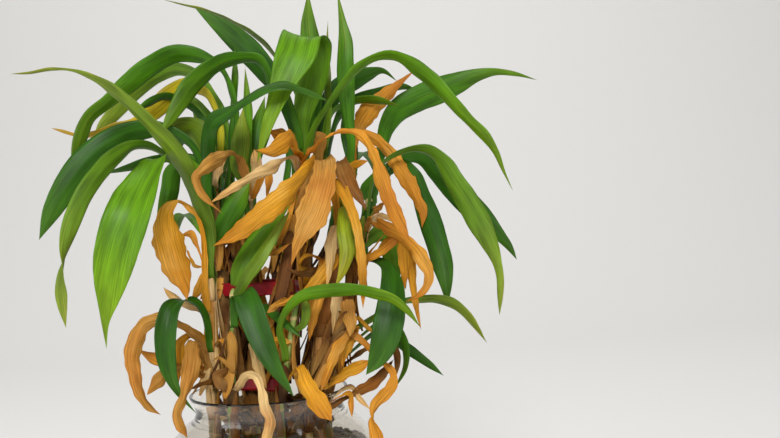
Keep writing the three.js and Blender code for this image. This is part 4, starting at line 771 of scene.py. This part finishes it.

# Dried dracaena leaf: papery fibre in streaks 29 mm long and 0.67 mm wide, orange to straw, with patches of
# 31 mm that are paler, partly bleaching and partly painted highlight, and more orange-brown, partly rust and
# partly painted shade; browner towards its end in blotches of 17 mm.
dried, tree, shader = material("dried_dracaena_leaf")
tint = node(tree, "Attribute", attribute_name="tint")
age = node(tree, "Attribute", attribute_name="age")
sheet = node(tree, "UVMap", uv_map="along_leaf")
place = node(tree, "TexCoord")
stretched = node(tree, "Mapping", {"Vector": sheet.outputs["UV"], "Scale": (1 / 28.6, 1 / 0.667, 1)})
fibre = node(
    tree, "TexNoise", {"Vector": stretched.outputs["Vector"], "Scale": 1, "Detail": 4, "Roughness": 0.65}
)
fibre_shade = node(
    tree,
    "MapRange",
    {"Value": fibre.outputs["Fac"], "From Min": 0.3, "From Max": 0.72, "To Min": 0.5, "To Max": 1.32},
)
blotch = node(
    tree, "TexNoise", {"Vector": place.outputs["Object"], "Scale": 1 / DECAY_SIZE, "Detail": 5}
)
weather_and_light = node(
    tree, "TexNoise", {"Vector": place.outputs["Object"], "Scale": 1 / WEATHER_AND_LIGHT_SIZE, "Detail": 3}
)
# Pale patches are partly bleaching and partly painted highlight; orange-brown ones partly rust and partly
# painted shade.
bleach_and_highlight = node(
    tree, "MapRange", {"Value": weather_and_light.outputs["Fac"], "From Min": 0.52, "From Max": 0.7, "To Max": 0.3}
)
rust_and_shade = node(
    tree, "MapRange", {"Value": weather_and_light.outputs["Fac"], "From Min": 0.48, "From Max": 0.3, "To Max": 0.5}
)
straw = {0: bleach_and_highlight.outputs["Result"], 6: tint.outputs["Color"], 7: linear("#e2b766")}
pale = node(tree, "Mix", straw, data_type="RGBA")
rust_and_shade_mix = {0: rust_and_shade.outputs["Result"], 6: pale.outputs[2], 7: linear("#b4671c")}
weather_and_light_colour = node(tree, "Mix", rust_and_shade_mix, data_type="RGBA")
streaked = node(
    tree, "VectorMath", {0: weather_and_light_colour.outputs[2], "Scale": fibre_shade.outputs["Result"]}, operation="SCALE"
)
decay = node(tree, "Math", {0: age.outputs["Fac"], 1: blotch.outputs["Fac"]}, operation="ADD")
browned = node(
    tree, "MapRange", {"Value": decay.outputs["Value"], "From Min": 0.95, "From Max": 1.3, "To Max": 0.8}
)
brown = {0: browned.outputs["Result"], 6: streaked.outputs["Vector"], 7: linear("#7a4a22")}
last = node(tree, "Mix", brown, data_type="RGBA")
tree.links.new(last.outputs[2], shader.inputs["Base Color"])
shader.inputs["Roughness"].default_value = 0.65
shader.inputs["Specular IOR Level"].default_value = 0.25
bump = node(tree, "Bump", {"Height": fibre.outputs["Fac"], "Distance": 0.0005, "Strength": 0.7})
tree.links.new(bump.outputs["Normal"], shader.inputs["Normal"])
let_light_through(tree, shader, last.outputs[2], 0.18)

# The kinds of leaf: colours from base to tip, a factor on the under side's colour beside them, painted
# shade where it is below 1 and painted light where above, and the age
FRESH = {"tones": ("#4f8016", "#467e0e", "#4b820e", "#6c9018"), "under": 0.8, "age": 0.12}
BRIGHT = {"tones": ("#668c16", "#64940e", "#5c8e0a", "#7c9a18"), "under": 0.8, "age": 0.1}
DEEP = {"tones": ("#3a6614", "#2f5c0d", "#29540b", "#3c6414"), "under": 1.15, "age": 0.06}
OLIVE = {"tones": ("#5b7a1a", "#67851c", "#708b20", "#8a962c"), "under": 0.9, "age": 0.2}
GREY_GREEN = {"tones": ("#567c1a", "#588018", "#60851e", "#80902c"), "under": 1.0, "age": 0.15}
YELLOWED = {"tones": ("#8c9a18", "#b8ac1c", "#c8b020", "#c49a24"), "under": 0.9, "age": 0.2}
LIME = {"tones": ("#8a9a1c", "#9aa820", "#8fa01e", "#b0a428"), "under": 0.95, "age": 0.15}
ORANGE = {"tones": ("#c2781e", "#e29628", "#e6a02e", "#ca7e22"), "under": 0.85, "age": 0.3}
GOLD = {"tones": ("#cc9228", "#dc981c", "#e0a020", "#c8801a"), "under": 0.9, "age": 0.2}
TAN = {"tones": ("#ad7834", "#c48c3c", "#ca903a", "#c0822c"), "under": 0.9, "age": 0.25}
STRAW = {"tones": ("#dcb478", "#f0cc8e", "#f0ca88", "#d8a454"), "under": 0.92, "age": 0.2}
BROWN = {"tones": ("#754a1a", "#895a24", "#9a6626", "#774b20"), "under": 0.8, "age": 0.4}
# Umber: the dark brown of rotted leaf, made darker as painted shade of the crowded middle and the neck
UMBER_AND_SHADE = {"tones": ("#3c2410", "#4f3115", "#6b431c", "#4a2c12"), "under": 0.8, "age": 0.3}
# The forms of living and dried blades: the depth of each kind of unevenness, and the pitch of the waves
LIVING_SHAPE = {
    "stations": LEAF_STATIONS, "thickness": 0.4 * MM, "pleat": 0.05 * MM, "pleats": 6, "ragged": 0.01,
    "wave": 0.5 * MM, "pitch": 9 * MM, "curl": 0.04, "dent": 0.05 * MM,
}
DRIED_SHAPE = {
    "stations": LEAF_STATIONS, "thickness": 0.3 * MM, "pleat": 0.25 * MM, "pleats": 5, "ragged": 0.13,
    "wave": 1.4 * MM, "pitch": 6 * MM, "curl": 0.1, "dent": 0.55 * MM,
}

# The large leaves, each its own piece: living ones first, then those that have dried.
LIVING_LEAVES = {
    "leaf_long_arch": ("cane_left", OLIVE), "leaf_arch_top_left": ("cane_left_tall", FRESH),
    "leaf_pale_back_left": ("cane_left_back", GREY_GREEN), "leaf_light_green": ("cane_middle", FRESH),
    "leaf_yellow": ("cane_left_tall", YELLOWED), "leaf_dark_left": ("cane_left_tall", DEEP),
    "leaf_twisted_left": ("cane_left_tall", GREY_GREEN), "leaf_broad_front": ("cane_left_tall", BRIGHT),
    "leaf_sharp_bend": ("cane_left_tall", DEEP), "leaf_dark_top_left": ("cane_centre", DEEP),
    "leaf_folded_bright": ("cane_centre", BRIGHT), "leaf_upright_top": ("cane_centre", FRESH),
    "leaf_upright_right": ("cane_right_centre", FRESH), "leaf_arch_right": ("cane_centre", BRIGHT),
    "leaf_big_right": ("cane_right", FRESH), "leaf_dark_top_right": ("cane_centre_back", DEEP),
    "leaf_dark_back_right": ("cane_right", DEEP), "leaf_pale_right": ("cane_right", GREY_GREEN),
    "leaf_dark_hanging_right": ("cane_right", DEEP), "leaf_front_arch": ("cane_front_right", BRIGHT),
    "leaf_dark_broad_right": ("cane_right", DEEP), "leaf_dark_front": ("cane_front_left", DEEP),
    "leaf_hanging_front_left": ("cane_left", DEEP), "back_leaf_high": ("cane_back", FRESH),
    "back_leaf_right": ("cane_back_right", FRESH), "back_leaf_left": ("cane_left_back", DEEP),
    "back_leaf_low_left": ("cane_back", OLIVE), "back_leaf_low_right": ("cane_back_right", DEEP),
    "back_leaf_side_right": ("cane_right", FRESH),
}
DRIED_LEAVES = {
    "dry_leaf_big_left": ("cane_centre", GOLD), "dry_leaf_big_centre": ("cane_centre", TAN),
    "dry_leaf_strip_centre": ("cane_right_centre", GOLD), "dry_leaf_arch_inner": ("cane_centre", ORANGE),
    "dry_leaf_arch_outer": ("cane_right_centre", ORANGE), "dry_leaf_upright": ("cane_right_centre", ORANGE),
    "dry_leaf_balloon": ("cane_left", GOLD), "dry_leaf_zigzag": ("cane_left", TAN),
    "dry_leaf_over_rim_left": ("cane_left", TAN), "dry_leaf_pale_over_rim": ("cane_front_left", STRAW),
    "dry_leaf_flap_front": ("cane_front_right", GOLD), "dry_leaf_twist_right": ("cane_right_front", ORANGE),
    "dry_leaf_right_loop": ("cane_right", ORANGE),
}

for table, shape, finish, slot in [
    (LIVING_LEAVES, LIVING_SHAPE, living, "green_leaf"),
    (DRIED_LEAVES, DRIED_SHAPE, dried, "dry_leaf"),
]:
    for number, (name, (cane, tones)) in enumerate(table.items()):
        rings, tip = max(rings_of(name), key=lambda leaf: len(leaf[0]))
        look = {**shape, **tones, "phase": 1.7 * number}
        rails = joined_to_cane(rails_of(rings, tip), cane)
        leaf_piece(name + "_blade", [(leaf_surface(rails, look), look)], finish, [name])

# The sheaths: the papery clasping bases of leaves that fell long ago. They wrap every cane in overlapping
# layers, torn to points, and long shreds of them hang a few millimetres off it and fill the gaps between the
# canes. Their dried layers are mostly umber and brown, partly the rotted leaves' own colour and partly
# painted shade of the plant's crowded middle. Near the tips of the living canes they are green.
SHEATH_STATIONS = 12
SHEATH_ACROSS = 9
SHEATH_STEP = (6, 10)
SHEATH_LENGTH = (20, 42)
SHEATH_FLARE = (1.0, 6.0)
SHEATH_WRAP = (1.2, 2.4)
SHREDS_A_LEVEL = 2
SHRED_LENGTH = (32, 70)
SHRED_FLARE = (3.0, 13.0)
SHRED_WRAP = (0.35, 0.85)
SHEATH_LIFT = 0.5 * MM
SHEATH_THICKNESS = 0.3 * MM
CRINKLE = 0.5 * MM
CLOSE_FLARE = 0.3
CLEAR_OF_NECK = 4.6
SHEATHS_FROM = 134
SHEATHS_END_BELOW_TIP = 12
ABOVE_RIM = 168
SHREDS_FROM = 188
GREEN_TOP_LENGTH = 62
GREEN_FROM = 235
UNDER_PAINTED_SHADE = 0.7
# What each cane wears, from its lowest layer up and then over again; the umber in them is partly painted
# shade
GREEN_LAYERS = (FRESH, DEEP, OLIVE)
DARK_LAYERS = (BROWN, UMBER_AND_SHADE, TAN, UMBER_AND_SHADE, BROWN)
SHEATH_LAYERS = {"cane_trunk": (BROWN,), "cane_left": (STRAW, TAN, STRAW)}
SHRED_LAYERS = (UMBER_AND_SHADE, BROWN, UMBER_AND_SHADE, ORANGE, UMBER_AND_SHADE, TAN, BROWN)


def sheath_surface(name, base, length, wrap, flare, hangs):
    """A torn wrap on a cane, as rings of points round it.

    At share u along and s across, the angle is facing + wrap s (1 - 0.9 u^2), the height base + length u
    (minus for one that hangs), and the radius that of the cane plus flare u^2 and a small crinkle.
    """
    facing = chance.uniform(0, 2 * np.pi)
    share = np.linspace(0, 1, SHEATH_STATIONS)
    s = np.linspace(-1, 1, SHEATH_ACROSS)
    height = base + length * share * (-1 if hangs else 1)
    angle = facing + wrap * s * (1 - 0.9 * share[:, None] ** 2) * (-1 if hangs else 1)
    crinkle = CRINKLE * np.sin(9 * s + 5 * facing) * share[:, None]
    radius = cane_radius(name, height)[:, None] + SHEATH_LIFT + flare * share[:, None] ** 2 + crinkle
    out = np.stack([np.cos(angle), np.sin(angle), 0 * angle], -1)
    centre = cane_axis(name, height)[:, None]
    top = centre + out * radius[..., None]
    under = centre + out * (radius - SHEATH_THICKNESS)[..., None]
    ring = np.concatenate([top, under[:, ::-1]], 1)
    s_ring = np.concatenate([s, s[::-1]])
    uv = np.stack(np.broadcast_arrays((length * share)[:, None], wrap * radius.mean() * s_ring), -1)
    return ring, uv / MM, share, s_ring


def next_look(layers, worn):
    """The look of the next layer of a cane that wears some already: the layers' kinds, each in its turn,
    with the side towards the cane darkened as painted shade.
    """
    return {**layers[len(worn) % len(layers)], "under": UNDER_PAINTED_SHADE}


# Up each cane in turn, in millimetres: one sheath at each level, and above the rim its shreds
for name, (neck_at, tip, foot_radius) in CANES.items():
    wraps = {True: [], False: []}
    level = SHEATHS_FROM + chance.uniform(0, 6)
    room = NECK_RADIUS / MM - math.hypot(*neck_at) - foot_radius - CLEAR_OF_NECK
    woody = name == "cane_trunk"
    while level < tip[2] - SHEATHS_END_BELOW_TIP:
        green = not woody and level > max(tip[2] - GREEN_TOP_LENGTH, GREEN_FROM)
        length = min(chance.uniform(*SHEATH_LENGTH), tip[2] - 4 - level)
        flare = chance.uniform(*SHEATH_FLARE) * (CLOSE_FLARE if green or name in SHEATH_LAYERS else 1)
        if level < ABOVE_RIM:
            flare = min(flare, max(room, 0.2))
        wrap = chance.uniform(*SHEATH_WRAP)
        surface = sheath_surface(name, level * MM, length * MM, wrap, flare * MM, False)
        layers = GREEN_LAYERS if green else SHEATH_LAYERS.get(name, DARK_LAYERS)
        wraps[green].append((surface, next_look(layers, wraps[green])))
        for _ in range(SHREDS_A_LEVEL if level > SHREDS_FROM and not woody else 0):
            length = min(chance.uniform(*SHRED_LENGTH), level - ABOVE_RIM)
            wrap, flare = chance.uniform(*SHRED_WRAP), chance.uniform(*SHRED_FLARE)
            surface = sheath_surface(name, level * MM, length * MM, wrap, flare * MM, True)
            layers = SHEATH_LAYERS.get(name, SHRED_LAYERS)
            wraps[False].append((surface, next_look(layers, wraps[False])))
        sparse = 3 if name in GREEN_CANES else 0.5 if level < ABOVE_RIM else 1
        level += chance.uniform(*SHEATH_STEP) * sparse
    if wraps[False]:
        leaf_piece("sheath_dry_" + name[5:], wraps[False], dried)
    if wraps[True]:
        leaf_piece("sheath_green_" + name[5:], wraps[True], living)

# The litter: scraps of dried leaf, 10 to 22 mm long, that have dropped among the canes and crowd the neck
# of the bowl on top of the gravel. Their umber scraps are partly painted shade of the neck. A clear place is
# left in front, between the two green canes.
SCRAPS = 190
SCRAP_LENGTH = (10, 22)
SCRAP_WIDTH = (4, 8)
SCRAP_BOW = (1, 4)
SCRAP_LAYERS = (UMBER_AND_SHADE, BROWN, TAN, UMBER_AND_SHADE, BROWN, STRAW)
SCRAP_STATIONS = 14
LITTER_RADIUS = 42 * MM
LITTER_FROM = 130 * MM
LITTER_DEPTH = 27 * MM
CLEAR_PLACE = np.array([(-12, -43, 136), (4, -31, 160)]) * MM
PRESSED_FROM = 40 * MM
PRESSED_TO = 0.45


def scrap_rails(middle):
    """Rails of a scrap: middle + along t + up (1 - t^2), with t from -1 to 1, and pointed at both ends."""
    along = chance.normal(size=3) * (1, 1, 0.6)
    along /= np.linalg.norm(along)
    across = np.cross(along, chance.normal(size=3))
    across /= np.linalg.norm(across)
    up = np.cross(across, along)
    t = np.linspace(-1, 1, 7)[:, None]
    run = along * t * chance.uniform(*SCRAP_LENGTH) / 2
    line = middle + (run + up * (1 - t**2) * chance.uniform(*SCRAP_BOW)) * MM
    half = across * (chance.uniform(*SCRAP_WIDTH) / 2 * (1.02 - t**2) ** 0.5) * MM
    return line - half, line, line + half, np.repeat(up[None], len(t), 0)


# One scrap at each step of a flat spiral, at a random height. What reaches the glass is pressed inward.
litter = []
kept_clear = (CLEAR_PLACE[1] - CLEAR_PLACE[0]) / 2 + SCRAP_LENGTH[1] * 0.6 * MM
for number in range(SCRAPS):
    turn, out = number * GOLDEN_ANGLE, LITTER_RADIUS * math.sqrt((number + 0.5) / SCRAPS)
    rise = LITTER_FROM + LITTER_DEPTH * chance.uniform()
    middle = np.array([out * math.cos(turn), out * math.sin(turn), rise])
    rails = scrap_rails(middle)
    if (np.abs(middle - CLEAR_PLACE.mean(0)) < kept_clear).all():
        continue
    layer = SCRAP_LAYERS[number % len(SCRAP_LAYERS)]
    look = {**DRIED_SHAPE, **layer, "stations": SCRAP_STATIONS, "phase": number}
    ring, *coat = leaf_surface(rails, look)
    reach = np.linalg.norm(ring[..., :2], axis=-1)
    pressed = np.where(reach > PRESSED_FROM, PRESSED_FROM + (reach - PRESSED_FROM) * PRESSED_TO, reach)
    ring[..., :2] *= (pressed / reach)[..., None]
    litter.append(((ring, *coat), look))
leaf_piece("neck_litter", litter, dried)

# The small leaves: those that grow low on the canes and hide them, most of them dried. They are fused
# to their cane in the CAD model, and are drawn here as one living and one dried bunch for each cane.
SMALL_STATIONS = 44
GREEN_ABOVE = 345 * MM
# Where in the picture the tips of some are seen, in its pixels, for those that their height doesn't tell
LOW_GREEN_TIPS = np.array(
    [
        (157, 234), (161, 145), (290, 211), (335, 288), (444, 376), (487, 343), (291, 203), (357, 262),
        (103, 174), (250, 182), (396, 160), (388, 306), (394, 390), (233, 285), (302, 292), (302, 338),
        (207, 336), (290, 350), (168, 270),
    ]
)
LIME_TIPS = np.array([(335, 288), (357, 262)])
HIGH_DRIED_TIPS = np.array([(268, 130), (308, 129)])
TIP_REACH = 7
SMALL_GREENS = (DEEP, FRESH, OLIVE, BRIGHT, DEEP)
SMALL_DRIED = (ORANGE, GOLD, ORANGE, TAN, BROWN, GOLD, STRAW)


def picture_place(point):
    """Where a point is seen in the picture: its offsets along the camera's right and up over its depth."""
    away = point - EYE
    right = away[0] * math.cos(EYE_ROLL) - away[2] * math.sin(EYE_ROLL)
    up = away[0] * math.sin(EYE_ROLL) + away[2] * math.cos(EYE_ROLL)
    scale = PICTURE_DISTANCE / away[1]
    return np.array([PICTURE_CENTRE[0] + right * scale, PICTURE_CENTRE[1] - up * scale])


def near_any(place, places):
    """Whether a picture place is within reach of one of places."""
    return np.linalg.norm(places - place, axis=1).min() < TIP_REACH


found = 0
for name in CANES:
    bunches = {True: [], False: []}
    for rings, tip in rings_of(name):
        place = picture_place(tip)
        high = tip[2] > GREEN_ABOVE and not near_any(place, HIGH_DRIED_TIPS)
        green = high or near_any(place, LOW_GREEN_TIPS)
        kinds, shape = (SMALL_GREENS, LIVING_SHAPE) if green else (SMALL_DRIED, DRIED_SHAPE)
        tones = LIME if near_any(place, LIME_TIPS) else kinds[found % len(kinds)]
        rails = joined_to_cane(rails_of(rings, tip), name)
        look = {**shape, **tones, "stations": SMALL_STATIONS, "phase": 2.3 * found}
        bunches[green].append((leaf_surface(rails, look), look))
        found += 1
    if bunches[True]:
        leaf_piece("green_bunch_" + name[5:], bunches[True], living)
    if bunches[False]:
        leaf_piece("dry_bunch_" + name[5:], bunches[False], dried)

# The studio: a pale paper sweep that curves up from floor to wall behind the plant, lit by large soft
# boxes. The wall has a light of its own, so that it is as pale as the floor.
WALL_AT = 2.6
SWEEP_RADIUS = 1.2
STAGE_HALF_WIDTH = 5
bend = np.linspace(0, np.pi / 2, 24)
sweep = np.concatenate(
    [
        [(-STAGE_HALF_WIDTH, 0)],
        np.stack([WALL_AT - SWEEP_RADIUS * (1 - np.sin(bend)), SWEEP_RADIUS * (1 - np.cos(bend))], -1),
        [(WALL_AT, STAGE_HALF_WIDTH)],
    ]
)
sides = np.array([-STAGE_HALF_WIDTH, STAGE_HALF_WIDTH])
stage_points = np.stack(
    [np.repeat(sides[None], len(sweep), 0), np.repeat(sweep[:, :1], 2, 1), np.repeat(sweep[:, 1:], 2, 1)], -1
)
first = np.arange(len(sweep) - 1) * 2
stage_faces = np.stack([first, first + 1, first + 3, first + 2], -1).tolist()
stage_mesh = bpy.data.meshes.new("floor")
stage_mesh.from_pydata(stage_points.reshape(-1, 3), [], stage_faces)
stage_mesh.shade_smooth()
floor = bpy.data.objects.new("floor", stage_mesh)
paper, tree, shader = material("pale_paper")
shader.inputs["Base Color"].default_value = linear("#f1f0ee")
shader.inputs["Roughness"].default_value = 0.9
stage_mesh.materials.append(paper)
bpy.context.collection.objects.link(floor)

world = bpy.data.worlds.new("studio")
world.use_nodes = True
surround = world.node_tree.nodes["Background"]
surround.inputs["Color"].default_value = linear("#f4f3f1")
surround.inputs["Strength"].default_value = 0.52
bpy.context.scene.world = world
bpy.context.scene.view_settings.view_transform = "Standard"


def soft_light(name, at, aim, size, power):
    """A square soft box of a size at a place, turned towards aim."""
    data = bpy.data.lights.new(name, "AREA")
    data.size = size
    data.energy = power
    made = bpy.data.objects.new(name, data)
    bpy.context.collection.objects.link(made)
    facing = (Vector(at) - Vector(aim)).to_track_quat("Z", "Y")
    made.matrix_world = Matrix.Translation(at) @ facing.to_matrix().to_4x4()


soft_light("key_light", (0.05, -1.35, 1.0), (0, 0, 0.25), 0.4, 17.5)
soft_light("fill_light", (-1.1, -0.8, 0.5), (0, 0, 0.2), 0.8, 5)
soft_light("wall_light", (0, 0.7, 2.6), (0, 2.4, 0.3), 1.6, 19)
